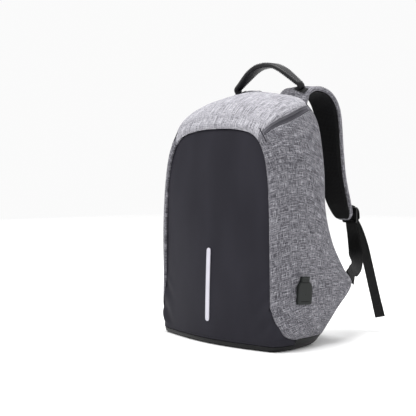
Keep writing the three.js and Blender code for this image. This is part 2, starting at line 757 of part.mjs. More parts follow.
function webbingTail(side) {
  const start = webStart.clone().add(new THREE.Vector3(0, webThick + seatGap, 0));
  const rows = steps(0, TAIL_ROUTE.length - 1, 14).map((position) => {
    const read = (name) => readColumn(TAIL_ROUTE, name, position);
    const at = new THREE.Vector3(
      start.x + read("across") * tailSwing.x,
      start.y + read("back") * tailSwing.y,
      start.z - read("up") * tailDrop,
    );
    return { at, wide: widthAxis(read("turn")) };
  });
  return ribbon(rows, webWidth, webThick, side);
}

// Carry handle and its patches

const patchPlace = 2.05; // place on the strap's route where the handle enters
const patchThick = 1;
const patchGap = 0.7; // clearance under a patch, which is flat, on the bent strap
const patchLength = 30;
const patchWidth = 12;
const handleFoot = 0.62; // width of the handle at its feet, as a share of its full width
const HANDLE_ARCH = [
  { across: 1, up: 0 },
  { across: 0.9, up: 0.2 },
  { across: 0.74, up: 0.47 },
  { across: 0.53, up: 0.76 },
  { across: 0.28, up: 0.95 },
  { across: 0, up: 1 },
];

// Frame of a patch on the outside of the right strap: wide runs across the strap, along over its crest.
function patchFrame() {
  const [, frame] = strapFrames([patchPlace - 0.2, patchPlace, patchPlace + 0.2]);
  const outside = (handleSpan / 2 - frame.centre.x) / frame.wide.x;
  const centre = frame.centre
    .clone()
    .addScaledVector(frame.wide, outside)
    .addScaledVector(frame.thick, strapThick / 2 + patchGap + patchThick / 2);
  return { centre, wide: frame.wide, thick: frame.thick, along: frame.thick.clone().cross(frame.wide) };
}

function handlePatch(side) {
  const frame = patchFrame();
  const corner = (w, t, a) =>
    frame.centre
      .clone()
      .addScaledVector(frame.wide, (w * patchLength) / 2)
      .addScaledVector(frame.thick, (t * patchThick) / 2)
      .addScaledVector(frame.along, (a * patchWidth) / 2);
  const ring = (a) => [[-1, -1], [1, -1], [1, 1], [-1, 1]].map(([w, t]) => mirrorX(corner(w, t, a), side));
  return skinRings([ring(-1), ring(1)]);
}

function carryHandle() {
  const { centre, wide, thick, along } = patchFrame();
  const foot = centre.clone().addScaledVector(thick, patchThick / 2 + seatGap);
  const neck = foot.clone().addScaledVector(thick, handleThick);
  const last = HANDLE_ARCH.length - 1;
  const half = (side) =>
    steps(0, last, 10).map((position) => {
      const across = readColumn(HANDLE_ARCH, "across", position) * neck.x;
      const up = neck.z + readColumn(HANDLE_ARCH, "up", position) * handleRise;
      return new THREE.Vector3(side * across, mix(neck.y, handleBack, smooth(position, 0, last)), up);
    });
  const arch = [...half(-1), ...half(1).slice(0, -1).reverse()];
  const centres = [mirrorX(foot, -1), ...arch, foot];
  const frames = framesAlong(centres, centres.map(() => new THREE.Vector3(0, 1, 0)));
  const end = frames.length - 1;
  frames[0] = { centre: centres[0], wide: mirrorX(along, -1), thick: mirrorX(wide, -1).negate() };
  frames[end] = { centre: centres[end], wide: along, thick: wide.clone().negate() };
  const rings = frames.map((frame, i) => {
    const share = handleFoot + (1 - handleFoot) * smooth(Math.min(i, end - i), 0, 5);
    return placeSection(frame, padSection(handleWidth * share, handleThick));
  });
  return skinRings(rings);
}

// Trims on the panels

const stripTip = 0.8; // half width at which the rounded ends of the strip stop
const usbRound = 5; // radius of the cover's lower corners
const usbNeck = 9; // height of its neck
const usbBevel = 1.5;

function reflectiveStrip() {
  const radius = stripWidth / 2;
  const ends = [0, 0.15, 0.5, 1].map((share) => share * radius);
  const middle = steps(radius, stripLength - radius, 8).slice(1, -1);
  const heights = [...ends, ...middle, ...ends.map((end) => stripLength - end).reverse()];
  const rows = heights.map((height) => {
    const toEnd = Math.min(height, stripLength - height, radius);
    const half = Math.max(Math.sqrt(radius ** 2 - (radius - toEnd) ** 2), stripTip);
    const up = stripFoot + height;
    const front = frontY(up) - seatGap - stripThick;
    return [-1, 0, 1].map((across) => new THREE.Vector3(across * half, front, up));
  });
  return thicken(new Surface().grid(rows), stripThick);
}

function usbCover() {
  const section = sectionAtHeight(usbUp);
  const at = skinPoint(section, usbDepthShare, 1);
  const place = (sections, depth) => skinPoint(section + sections, usbDepthShare + depth, 1);
  const up = place(0.2, 0).sub(place(-0.2, 0)).normalize();
  const backward = place(0, 0.1).sub(place(0, -0.1));
  const outward = backward.clone().cross(up).normalize();
  backward.crossVectors(up, outward).normalize();
  const [half, neck] = [usbWidth / 2, usbWidth / 3.6];
  const [foot, shoulder, head] = [-usbHeight / 2, usbHeight * 0.18, usbHeight / 2];
  const [bend, pull] = [shoulder - usbHeight / 8, shoulder + usbHeight / 16];
  const outline = new THREE.Shape()
    .moveTo(-half + usbRound, foot)
    .lineTo(half - usbRound, foot)
    .quadraticCurveTo(half, foot, half, foot + usbRound)
    .lineTo(half, bend)
    .quadraticCurveTo(half, pull, neck, head - usbNeck)
    .lineTo(neck, head)
    .lineTo(-neck, head)
    .lineTo(-neck, head - usbNeck)
    .quadraticCurveTo(-half, pull, -half, bend)
    .lineTo(-half, foot + usbRound)
    .quadraticCurveTo(-half, foot, -half + usbRound, foot);
  const geometry = new THREE.ExtrudeGeometry(outline, {
    depth: usbThick - 2 * usbBevel,
    bevelThickness: usbBevel,
    bevelSize: usbBevel,
    bevelOffset: -usbBevel,
    bevelSegments: 2,
    curveSegments: 4,
  });
  geometry.translate(0, 0, usbBevel + seatGap);
  const basis = new THREE.Matrix4().makeBasis(backward, up, outward).setPosition(at);
  return geometry.applyMatrix4(basis);
}

// Materials

const cloth = (color, roughness) => new THREE.MeshStandardMaterial({ color, roughness, metalness: 0 });
const greyHeather = cloth(0x8b8b91, 0.95);
const blackCoated = cloth(0x333338, 0.6);
const blackMesh = cloth(0x1a1a1c, 0.95);
const blackWebbing = cloth(0x1d1d1f, 0.8);
const darkHandle = cloth(0x2f2e31, 0.65);
const blackPlastic = cloth(0x161617, 0.35);
const darkRubber = cloth(0x3a3d3c, 0.5);
const paleReflector = cloth(0xdcdae4, 0.35);

// Assembly

const bag = new THREE.Group();

function piece(name, geometry, material) {
  const mesh = new THREE.Mesh(geometry, material);
  mesh.name = name;
  bag.add(mesh);
}

piece("front_panel", frontPanel(), blackCoated);
piece("base_tray", baseTray(), blackCoated);
piece("top_panel", topPanel(), greyHeather);
piece("back_pad", backPad(), blackMesh);
piece("rear_lower_panel", rearLowerPanel(), blackCoated);
piece("carry_handle", carryHandle(), darkHandle);
piece("reflective_strip", reflectiveStrip(), paleReflector);
piece("usb_cover", usbCover(), darkRubber);
for (const [name, side] of [["left", -1], ["right", 1]]) {
  piece(`side_panel_${name}`, sidePanel(side), greyHeather);
  piece(`shoulder_strap_${name}`, shoulderStrap(side), greyHeather);
  piece(`strap_lining_${name}`, strapLining(side), blackMesh);
  piece(`adjuster_tab_${name}`, adjusterTab(side), blackWebbing);
  piece(`ladder_lock_${name}`, ladderLock(side), blackPlastic);
  piece(`lower_webbing_${name}`, lowerWebbing(side), blackWebbing);
  piece(`webbing_tail_${name}`, webbingTail(side), blackWebbing);
  piece(`webbing_anchor_${name}`, webbingAnchor(side), blackWebbing);
  piece(`handle_patch_${name}`, handlePatch(side), blackWebbing);
}

export default bag;
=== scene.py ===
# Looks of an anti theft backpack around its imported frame.
# Blender works in metres. The shapes below are worked out in millimetres in the frame of the part.
import json
import math

import bmesh
import bpy
import numpy as np
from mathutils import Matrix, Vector, noise

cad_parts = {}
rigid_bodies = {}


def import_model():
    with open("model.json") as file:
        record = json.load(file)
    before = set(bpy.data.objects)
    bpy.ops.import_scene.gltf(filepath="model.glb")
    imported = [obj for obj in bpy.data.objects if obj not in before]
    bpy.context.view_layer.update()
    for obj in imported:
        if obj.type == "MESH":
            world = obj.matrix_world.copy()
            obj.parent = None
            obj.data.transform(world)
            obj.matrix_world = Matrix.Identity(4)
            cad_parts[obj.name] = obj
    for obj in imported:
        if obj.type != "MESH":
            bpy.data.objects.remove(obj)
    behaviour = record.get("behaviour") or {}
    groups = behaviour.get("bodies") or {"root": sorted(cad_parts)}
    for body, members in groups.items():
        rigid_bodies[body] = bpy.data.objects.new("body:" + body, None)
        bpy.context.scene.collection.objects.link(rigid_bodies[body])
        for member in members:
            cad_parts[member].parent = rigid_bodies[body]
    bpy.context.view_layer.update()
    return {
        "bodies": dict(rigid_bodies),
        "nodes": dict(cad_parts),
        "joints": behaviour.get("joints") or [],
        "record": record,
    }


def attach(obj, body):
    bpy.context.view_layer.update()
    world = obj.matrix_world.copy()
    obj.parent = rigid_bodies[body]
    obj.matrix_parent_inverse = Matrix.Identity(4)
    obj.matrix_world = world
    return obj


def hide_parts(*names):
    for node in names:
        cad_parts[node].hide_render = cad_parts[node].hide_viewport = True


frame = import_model()

# Sizes of the bag
HEIGHT = 453
HALF = 160
FRONT = 76
BACK = 122
BELLY = 20
RECESS = 4
SEAM = 0.5
HEM_UP = 10
HEM_LEVEL = 20
BASE_TOP = 19.5
SIDE_FOOT = 19.7
BASE_ROUND = 8
SIDE_WALL = 3
PAD_WALL = 5
REAR_WALL = 3
RIM_LIFT = 0.6
PAD_BULGE = 5
PAD_CHANNEL = 0.13
PAD_FOOT = (0.22, 0.3)
PAD_HEAD = (0.8, 0.88)
LEAN = 10

# Sections of the skin from the floor to the middle of the top: front across and up, rear across and up,
# rear back, swell across and up, as shares of HALF, HEIGHT and BACK.
SECTIONS = np.array([
    [0.838, 0, 0.8, 0, 0.35, 0.09, 0],
    [0.84, 0.044, 0.868, 0.044, 0.44, 0.11, 0],
    [0.844, 0.128, 0.915, 0.132, 0.7, 0.122, 0],
    [0.842, 0.232, 0.945, 0.226, 1, 0.122, 0],
    [0.838, 0.309, 0.95, 0.298, 0.8, 0.12, 0],
    [0.832, 0.402, 0.945, 0.4, 0.56, 0.112, 0],
    [0.825, 0.519, 0.93, 0.53, 0.42, 0.105, 0],
    [0.805, 0.64, 0.91, 0.7, 0.41, 0.1, 0.012],
    [0.744, 0.745, 0.815, 0.87, 0.41, 0.08, 0.045],
    [0.606, 0.814, 0.61, 0.948, 0.41, 0.068, 0.06],
    [0.35, 0.841, 0.34, 0.974, 0.41, 0.03, 0.072],
    [0, 0.848, 0, 0.985, 0.41, 0, 0.076],
])
FRONT_ACROSS, FRONT_UP, REAR_ACROSS, REAR_UP, REAR_BACK, SWELL_ACROSS, SWELL_UP = range(7)
ACROSS = (FRONT_ACROSS, REAR_ACROSS, SWELL_ACROSS)
HEM = 1
TIP = 3
TOP = len(SECTIONS) - 1
FOLD = 8.55
FOLD_SAG = 0.3
CORNER_TOP = 2.4
CORNER_REACH = 0.35
SWELL_RISE = 0.42
SWELL_FALL = 0.7

# Rolled edges of the cloth
EDGE_ROUND = 1.3
EDGE_DEPTH = 4
EVERY_EDGE = ((1, 0), (1, 1), (0, 0), (0, 1))

# Sizes of the straps and fittings
SIDES = ((-1, "left"), (1, "right"))
RIGHTWARD = np.array([1.0, 0, 0])
BACKWARD = np.array([0, 1.0, 0])
CROWN = 0.6
STRAP_RINGS = 150
LINING_FROM = 28
STRAP_THICK = 9
STRAP_WIDTH = 64
STRAP_ACROSS = 84
STRAP_REACH = 134
LINING_THICK = 1.5
LINING_MARGIN = 3.5
SEAT = 0.4
STITCH_INSET = 3
THREAD_LIFT = 0.1
WEB_WIDTH = 27
WEB_THICK = 1.6
WEB_TOP = 8
TAIL_DROP = 205
TAIL_SWING = (44, 34)
TAIL_HEM = 5.55
TAIL_HEM_THICK = 2.3
TAB_PLACE = (8.75, 9.45)
LOCK_HEIGHT = 30
LOCK_THICK = 4
LOCK_BACK = 14
LOCK_UP = 8
LIP_THICK = 2.6
ANCHOR_SECTION = 3.35
ANCHOR_AIM = np.array([-0.3, 0.9, 0.25])
ANCHOR_LENGTH = 13
ANCHOR_THICK = 3
ANCHOR_SPREAD = 8
ANCHOR_ROOT = 0.3
HANDLE_SPAN = 160
HANDLE_RISE = 43
HANDLE_WIDTH = 26
HANDLE_THICK = 8
HANDLE_BAND = 8.4
HANDLE_BACK = 54
HANDLE_FOOT = 0.62
PATCH_PLACE = 2.05
PATCH_THICK = 1
PATCH_LIFT = 1.2
PATCH_HALF = (15, 8)
TACKS = ((0.03, 27), (0.9, 22))
TACK_LIFT = 2
TACK_HALF = 1.1
USB_UP = 105
USB_DEPTH = 0.29
USB_FACE = 7.2

# Lines on the cover of the port: name, lower and upper edge from its middle, half width, thickness
USB_LINES = (
    ("usb_ridge", -19.6, -17.6, 11.5, 0.8),
    ("usb_dot", -8.2, -6, 1.1, 0.5),
    ("usb_neck_line", 12.8, 15.2, 8.4, 0.7),
    ("usb_lip", 20.2, 24.2, 9.6, 1.3),
)

# Lip of a ladder lock from its root to its tip: back and up from the middle of the lock
LOCK_LIP = ((1.2, 14), (5.5, 12.5), (9, 8), (10.6, 2), (11, -4), (11.8, -9))

# The lamps: name, place, size in metres, power in watts
LAMPS = (
    ("key", (-0.9, -1.2, 2.9), (1.3, 1.1), 48),
    ("top", (0.0, 0.3, 2.9), (1.3, 1.3), 62),
)
SKY = 0.96

# The camera of the photograph: turn round the bag in degrees, distance and height in metres, and its
# focal length, frame, and place of the origin's column and of the horizon in pixels
CAMERA_TURN = 45.5
CAMERA_AWAY = 1.706
CAMERA_UP = 0.309
FOCAL_PX = 921.6
FRAME_PX = 416
COLUMN_PX = 246
HORIZON_PX = 171
SENSOR = 36

# Route of a strap: across, back, up, width, lean
STRAP_ROUTE = np.array([
    [0.72, 0.041, 0.93, 1.2, 18],
    [0.755, 0.041, 0.976, 1.16, 16],
    [0.81, 0.115, 1.01, 1.1, 12],
    [0.885, 0.28, 1.017, 1.03, 6],
    [0.95, 0.475, 0.99, 1, 2],
    [0.98, 0.6, 0.93, 1, 0],
    [0.985, 0.65, 0.84, 1, 0],
    [1, 0.67, 0.745, 1, 0],
    [1, 0.73, 0.65, 0.98, 0],
    [1, 0.835, 0.565, 0.92, 0],
    [1, 0.94, 0.505, 0.74, 0],
    [1, 0.985, 0.478, 0.42, 0],
])

# Route of the lower webbing: across, back, up, turn, dip
WEBBING_ROUTE = np.array([
    [0, 0, 0, 0, 0],
    [0, 0, 0.12, 0, 0],
    [0, -0.03, 0.26, 0, 0],
    [0, -0.1, 0.42, 8, 0],
    [0.02, -0.13, 0.58, 14, 0],
    [0.1, -0.1, 0.73, 24, 8],
    [0.34, 0.12, 0.85, 42, 26],
    [0.66, 0.46, 0.92, 62, 44],
    [0.9, 0.78, 0.96, 82, 54],
])

# Route of the free end: across, back, down, turn
TAIL_ROUTE = np.array([
    [0, 0, 0, 0],
    [0.01, 0.04, 0.07, 0],
    [0.06, 0.4, 0.17, 0],
    [0.2, 0.7, 0.32, -4],
    [0.4, 0.84, 0.5, -10],
    [0.68, 0.92, 0.74, -10],
    [1, 1, 1, -10],
])

# Arch of the handle from its foot to its top: across, up
HANDLE_ARCH = np.array([[1, 0], [0.88, 0.16], [0.7, 0.41], [0.49, 0.68], [0.25, 0.88], [0, 0.94]])

# Cross section of the top panel from the fold upward: distance along the skin where the roll overhangs,
# the same where it doesn't, and the height above the skin.
FOLD_CURVE = np.array([
    [0, 0, -0.4],
    [1, 1, -2.2],
    [4.5, 2.5, -3.4],
    [11.5, 5, -3.8],
    [14, 6.5, -3],
    [13.4, 7.5, -1],
    [12.6, 8.5, 1.2],
    [12.8, 10, 3.2],
    [14.5, 13, 5],
    [19, 18, 6.3],
    [27, 26, 6.4],
    [40, 39, 4.2],
    [57, 56, 1.6],
    [80, 80, 0],
])

# Rows of the top cloth in the sunk strip, painted darker as shade, the rows of them painted darker still as
# deeper shade, and the columns at each end without the deeper shade
LENS_ROWS = 20
SHADE_ROWS = 9
SHADE_ENDS = 13

# Pieces that lean out at the left front
FILLED = ("side_cloth_left", "front_cloth", "base_cloth", "top_cloth")

# Tones of the heather cloth from its darkest yarn to its lightest
GREY_TONES = ((0.41, "37363c"), (0.47, "65646a"), (0.53, "828187"), (0.6, "b4b3b9"))
DIAGONAL = 0.785


# Shapes

def mix(a, b, share):
    return a + (b - a) * share


def smooth(value, low, high):
    share = np.clip((np.asarray(value, float) - low) / (high - low), 0, 1)
    return share * share * (3 - 2 * share)


def column(rows, index, position, crosses=False):
    """Value of one column between two rows, on a smooth curve through the rows.

    With crosses, the curve goes on past the last row to the other side of the bag.
    """
    last = len(rows) - 1
    values = rows[:, index]
    after = 2 * values[last] - values[last - 1]
    if crosses:
        after = values[last - 1] * (-1 if index in ACROSS else 1)
    padded = np.concatenate([[2 * values[0] - values[1]], values, [after]])
    start = np.clip(np.floor(position).astype(int), 0, last - 1)
    f = position - start
    a, b, c, d = (padded[start + k] for k in range(4))
    return b + f * (c - a + f * (2 * a - 5 * b + 4 * c - d + f * (3 * b - a - 3 * c + d))) / 2


def swell(depth):
    depth = np.clip(depth, 0, 1)
    peak = SWELL_RISE / (SWELL_RISE + SWELL_FALL)
    top = peak ** SWELL_RISE * (1 - peak) ** SWELL_FALL
    return depth ** SWELL_RISE * (1 - depth) ** SWELL_FALL / top


def skin(section, depth):
    """Points on the outside of the right side and the top."""
    section, depth = np.broadcast_arrays(np.asarray(section, float), np.asarray(depth, float))
    read = lambda index: column(SECTIONS, index, section, True)
    puff = swell(depth)
    across = mix(read(FRONT_ACROSS), read(REAR_ACROSS), depth) + read(SWELL_ACROSS) * puff
    up = mix(read(FRONT_UP), read(REAR_UP), depth) + read(SWELL_UP) * puff
    back = mix(-FRONT, read(REAR_BACK) * BACK, depth)
    return np.stack([across * HALF, back, up * HEIGHT], -1)


def unit(vectors):
    return vectors / np.maximum(np.linalg.norm(vectors, axis=-1, keepdims=True), 1e-9)


def grid_normals(points):
    return unit(np.cross(np.gradient(points, axis=1), np.gradient(points, axis=0)))


def fold_bow(depth):
    return np.sin(math.pi * np.clip(depth, 0, 1)) ** 0.8


def fold_section(depth):
    return FOLD - FOLD_SAG * fold_bow(depth)


def corner_turn(section):
    return np.clip((CORNER_TOP - section) / (CORNER_TOP - HEM), 0, 1)


def corner_edge(section):
    return CORNER_REACH * (1 - np.sqrt(1 - corner_turn(section) ** 2))


SECTION_LADDER = np.linspace(0, TOP, 800)
UP_LADDER = column(SECTIONS, FRONT_UP, SECTION_LADDER, True) * HEIGHT


def section_at(up):
    return np.interp(up, UP_LADDER, SECTION_LADDER)


def face(section, across):
    """Points on the front panel inside its arched edge."""
    section, across = np.broadcast_arrays(np.asarray(section, float), np.asarray(across, float))
    up = column(SECTIONS, FRONT_UP, section, True) * HEIGHT
    half = column(SECTIONS, FRONT_ACROSS, section, True) * HALF
    rise = np.clip(up / (SECTIONS[TOP, FRONT_UP] * HEIGHT), 0, 1)
    belly = BELLY * (1 - rise * rise) * np.clip(1 - across * across, 0, 1) ** 1.25
    open_edge = smooth(section, CORNER_TOP, CORNER_TOP + 0.6)
    near = 1 - (1 - open_edge * np.abs(across) ** 12) * (1 - rise ** 36)
    reach = np.maximum(half - SEAM, 0)
    return np.stack([across * reach, -FRONT - belly + RECESS * near, up], -1)


def arc_length(points, axis):
    """Distance of each point from the first, along the grid."""
    step = np.linalg.norm(np.diff(points, axis=axis), axis=-1)
    start = np.zeros_like(np.take(step, [0], axis))
    return np.cumsum(np.concatenate([start, step], axis), axis)


def path_length(path):
    return arc_length(path[None], 1)[0]


def read_path(at, run, path):
    """Points of a path where its length, or another measure along it, is at."""
    return np.stack([np.interp(at, run, path[:, k]) for k in range(3)], -1)


def ripple(points, size, seed):
    """Soft irregular waves of about the given size."""
    flat = (points.reshape(-1, 3) / size + seed * 17.3).tolist()
    values = [noise.noise(Vector(p)) for p in flat]
    return np.array(values).reshape(points.shape[:-1])


def turn_edge(points, uv, axis, end, radius, depth, outward):
    """Rolls one edge of a grid over and takes it inward."""
    if end == 0:
        flipped = turn_edge(np.flip(points, axis), np.flip(uv, axis), axis, 1, radius, depth, -outward)
        return tuple(np.flip(part, axis) for part in flipped)
    other = 1 - axis
    take = lambda array, at: np.take(array, [at], axis)
    count = points.shape[axis]
    last = count - 1
    away = [np.linalg.norm(take(points, k) - take(points, last), axis=-1).mean() for k in range(count)]
    inside = max(k for k in range(count) if away[k] > 2.2 * radius)
    normal = take(grid_normals(points), inside) * outward
    edge = take(points, last)
    tangent = unit(np.gradient(edge, axis=other))
    out = unit(np.cross(normal, tangent))
    out = out * np.sign((out * (edge - take(points, inside))).sum(-1, keepdims=True))
    start = edge - out * radius
    rings = [start]
    for angle in (30, 60, 90):
        a = math.radians(angle)
        rings.append(start + out * radius * math.sin(a) - normal * radius * (1 - math.cos(a)))
    rings.append(start + out * radius * 0.9 - normal * depth)
    marks = [take(uv, last)] * len(rings)
    kept = range(inside + 1)
    return (np.concatenate([np.take(points, kept, axis), *rings], axis),
            np.concatenate([np.take(uv, kept, axis), *marks], axis))


def turn_edges(points, uv, edges, radius=EDGE_ROUND, depth=EDGE_DEPTH, outward=1):
    for axis, end in edges:
        points, uv = turn_edge(points, uv, axis, end, radius, depth, outward)
    return points, uv


def relax(points, weight, rounds, closed=False):
    """Evens out the rows of a grid where the weight is above zero."""
    for _ in range(rounds):
        if closed:
            middle = (np.roll(points, 1, 1) + np.roll(points, -1, 1)) / 2
        else:
            middle = points.copy()
            middle[:, 1:-1] = (points[:, 2:] + points[:, :-2]) / 2
        points = points + (middle - points) * weight[..., None] * 0.5
    return points


def brim(points):
    """Height of the soft roll along the front edge of the grey cloth, and of the dip behind it."""
    away = arc_length(points, 1)
    return 1.5 * np.exp(-(((away - 8) / 5.5) ** 2)) - np.exp(-(((away - 20) / 5) ** 2))


def lean_out(points):
    """The bag is filled a little fuller towards its left front edge."""
    points = np.array(points, float)
    side = smooth(-points[:, 0], 40, 150)
    front = 1 - smooth(points[:, 1], -60, 70)
    low = 1 - smooth(points[:, 2], 150, 400) * 0.6
    points[:, 0] -= LEAN * side * front * low
    return points


def mirrored(points):
    return points * np.array([-1, 1, 1])


def sided(side):
    """Takes a shape of the right side to the given side."""
    return mirrored if side < 0 else np.asarray


# Objects

def add_object(name, data):
    made = bpy.data.objects.new(name, data)
    bpy.context.scene.collection.objects.link(made)
    return made


def make_object(name, points, faces, uv, material):
    mesh = bpy.data.meshes.new(name)
    mesh.from_pydata((np.asarray(points) / 1000).tolist(), [], [list(map(int, f)) for f in faces])
    layer = mesh.uv_layers.new(name="UVMap")
    corner = np.zeros(len(mesh.loops), int)
    mesh.loops.foreach_get("vertex_index", corner)
    layer.data.foreach_set("uv", np.asarray(uv, float)[corner].ravel())
    work = bmesh.new()
    work.from_mesh(mesh)
    bmesh.ops.remove_doubles(work, verts=work.verts, dist=2e-6)
    work.to_mesh(mesh)
    work.free()
    mesh.polygons.foreach_set("use_smooth", [True] * len(mesh.polygons))
    mesh.materials.append(material)
    return add_object(name, mesh)


def grid_faces(rows, cols, flip=False, loop=False):
    index = np.arange(rows * cols).reshape(rows, cols)
    if loop:
        index = np.concatenate([index, index[:, :1]], 1)
    a, b, c, d = index[:-1, :-1], index[:-1, 1:], index[1:, 1:], index[1:, :-1]
    order = (a, d, c, b) if flip else (a, b, c, d)
    return np.stack(order, -1).reshape(-1, 4)


def panel(name, points, uv, material, flip=False):
    """A sheet of quads. The quads face the side from which columns, then rows, turn anticlockwise."""
    rows, cols = points.shape[:2]
    flat = points.reshape(-1, 3)
    if name in FILLED:
        flat = lean_out(flat)
    return make_object(name, flat, grid_faces(rows, cols, flip=flip), uv.reshape(-1, 2), material)


def tube(name, rings, material):
    """A closed body through rings. The u coordinate runs round the ring and v along the body."""
    rings = np.asarray(rings)
    count, size = rings.shape[:2]
    closed = np.concatenate([rings, rings[:, :1]], 1)
    u = arc_length(closed, 1)[:, :-1]
    v = np.broadcast_to(path_length(rings.mean(1))[:, None], (count, size))
    uv = np.stack([u - u.mean(), v], -1).reshape(-1, 2)
    faces = grid_faces(count, size, loop=True).tolist()
    points = rings.reshape(-1, 3)
    faces.append(list(range(size))[::-1])
    faces.append([(count - 1) * size + k for k in range(size)])
    made = make_object(name, points, faces, uv, material)
    work = bmesh.new()
    work.from_mesh(made.data)
    bmesh.ops.recalc_face_normals(work, faces=work.faces)
    work.to_mesh(made.data)
    work.free()
    return made


def stitches(name, paths, material, pitch=4.2, length=3.1, radius=0.38):
    """Threads along paths of points with their surface normals."""
    points, faces = [], []
    ring = [(math.cos(t), math.sin(t)) for t in (0, math.pi / 2, math.pi, math.pi * 1.5)]
    for path, normals in paths:
        path = np.asarray(path, float)
        normals = np.broadcast_to(np.asarray(normals, float), path.shape)
        run = path_length(path)
        for at in np.arange(pitch / 2, run[-1] - length / 3, pitch):
            normal = unit(read_path(at, run, normals))
            a, b = read_path(np.array([at - length / 2, at + length / 2]), run, path)
            along = unit(b - a)
            across = np.cross(along, normal)
            start = len(points)
            points.append(a - normal * radius * 0.5)
            for share in (0.22, 0.78):
                centre = mix(a, b, share) + normal * radius * 0.3
                points += [centre + (across * c + normal * s) * radius for c, s in ring]
            points.append(b - normal * radius * 0.5)
            for k in range(4):
                n = (k + 1) % 4
                faces.append([start, start + 1 + n, start + 1 + k])
                faces.append([start + 1 + k, start + 1 + n, start + 5 + n, start + 5 + k])
                faces.append([start + 9, start + 5 + k, start + 5 + n])
    points = np.array(points)
    return make_object(name, points, faces, points[:, :2], material)


def dress(piece, slot, *nodes, fill=None):
    """Ties a piece to the part and to the nodes that it stands for."""
    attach(piece, "root")
    if nodes:
        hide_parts(*nodes)
    return piece


# Materials

def linear(hexadecimal):
    value = [int(hexadecimal[k:k + 2], 16) / 255 for k in (0, 2, 4)]
    return tuple(v / 12.92 if v <= 0.04045 else ((v + 0.055) / 1.055) ** 2.4 for v in value) + (1,)


class Shader:
    """A material whose nodes are added by short calls."""

    def __init__(self, name, **sockets):
        self.material = bpy.data.materials.new(name)
        self.material.use_nodes = True
        self.tree = self.material.node_tree
        self.main = self.tree.nodes["Principled BSDF"]
        for key, value in sockets.items():
            self.main.inputs[key.replace("_", " ")].default_value = value
        self.uv = self.tree.nodes.new("ShaderNodeUVMap").outputs[0]

    def node(self, kind, inputs=None, **settings):
        made = self.tree.nodes.new("ShaderNode" + kind)
        for key, value in settings.items():
            setattr(made, key, value)
        for key, value in (inputs or {}).items():
            if isinstance(value, bpy.types.NodeSocket):
                self.tree.links.new(value, made.inputs[key])
            else:
                made.inputs[key].default_value = value
        return made.outputs[0]

    def coordinates(self, u, v, turn=0.0):
        """The map scaled so that one unit is u by v millimetres."""
        inputs = {"Vector": self.uv, "Rotation": (0, 0, turn), "Scale": (1 / u, 1 / v, 1)}
        return self.node("Mapping", inputs)

    def noise(self, u, v, detail=2.0, rough=0.5):
        inputs = {"Vector": self.coordinates(u, v), "Scale": 1.0, "Detail": detail, "Roughness": rough}
        return self.node("TexNoise", inputs, noise_dimensions="2D")

    def math(self, operation, a, b=0.0):
        return self.node("Math", {0: a, 1: b}, operation=operation)

    def blend(self, a, share_a, b, share_b):
        return self.math("ADD", self.math("MULTIPLY", a, share_a), self.math("MULTIPLY", b, share_b))

    def ramp(self, value, *stops):
        made = self.tree.nodes.new("ShaderNodeValToRGB")
        self.tree.links.new(value, made.inputs[0])
        items = made.color_ramp.elements
        while len(items) < len(stops):
            items.new(0.5)
        for item, (place, color) in zip(items, stops):
            item.position = place
            item.color = linear(color) if isinstance(color, str) else color
        return made.outputs[0]

    def between(self, value, low, high, to_low, to_high):
        inputs = {"Value": value, "From Min": low, "From Max": high, "To Min": to_low, "To Max": to_high}
        return self.node("MapRange", inputs)

    def waves(self, u, v, turn=0.0):
        """Two waves, one along each direction of the map, as of crossing yarns."""
        split = self.node("SeparateXYZ", {0: self.coordinates(u, v, turn)}).node
        one = self.math("SINE", self.math("MULTIPLY", split.outputs[0], math.tau))
        two = self.math("SINE", self.math("MULTIPLY", split.outputs[1], math.tau))
        return one, two

    def bump(self, height, distance, strength=1.0):
        """Relief of the given depth in millimetres."""
        inputs = {"Height": height, "Distance": distance / 1000, "Strength": strength}
        self.feed("Normal", self.node("Bump", inputs))

    def feed(self, socket, value):
        self.tree.links.new(value, self.main.inputs[socket])

    def color(self, value):
        self.feed("Base Color", value)

    def rough(self, value):
        self.feed("Roughness", value)


def heather(name, dark=0.0, along=0.5, reach=16):
    """Melange cloth of crossing slub yarns. Along is the share of the yarns that run with u. Dark lowers the
    whole tone and a negative one raises it; the side and top copies use it to paint shade and light.
    """
    s = Shader(name, Specular_IOR_Level=0.15, Sheen_Weight=0.06, Sheen_Roughness=0.6)
    long_one = s.noise(reach, 0.95, 2, 0.55)
    long_two = s.noise(0.95, 14, 2, 0.55)
    fine_one = s.noise(4.5, 0.7, 2, 0.6)
    fine_two = s.noise(0.7, 4.5, 2, 0.6)
    cloud = s.noise(38, 38, 2, 0.5)
    slubs = s.blend(long_one, along, long_two, 1 - along)
    crossing = s.math("SUBTRACT", s.math("MAXIMUM", long_one, long_two), 0.055)
    slubs = s.blend(slubs, 0.55, crossing, 0.45)
    yarns = s.blend(fine_one, along, fine_two, 1 - along)
    both = s.blend(slubs, 0.66, yarns, 0.34)
    both = s.math("ADD", both, s.math("MULTIPLY", s.math("SUBTRACT", cloud, 0.5), 0.04))
    both = s.math("SUBTRACT", both, dark)
    s.color(s.ramp(both, *GREY_TONES))
    one, two = s.waves(1.5, 1.5)
    weave = s.math("MULTIPLY", s.math("MULTIPLY", one, two), 0.5)
    s.bump(s.math("ADD", weave, s.math("MULTIPLY", both, 2.2)), 0.35, 0.6)
    s.rough(s.between(yarns, 0.3, 0.7, 0.86, 0.98))
    return s.material


def coated(name, base, light, roughness, shine):
    """Smooth close cloth with a matt coat and faint broad bands."""
    s = Shader(name, Specular_IOR_Level=shine)
    bands = s.noise(60, 190, 2, 0.5)
    grain = s.noise(0.9, 0.9, 2, 0.6)
    s.color(s.ramp(bands, (0.3, base), (0.7, light)))
    dulled = s.math("ADD", bands, s.math("MULTIPLY", grain, 0.3))
    s.rough(s.between(dulled, 0.3, 1.0, roughness - 0.05, roughness + 0.08))
    one, two = s.waves(0.9, 0.9, DIAGONAL)
    s.bump(s.math("ADD", s.math("MULTIPLY", s.math("MULTIPLY", one, two), 0.3), grain), 0.12, 0.35)
    return s.material


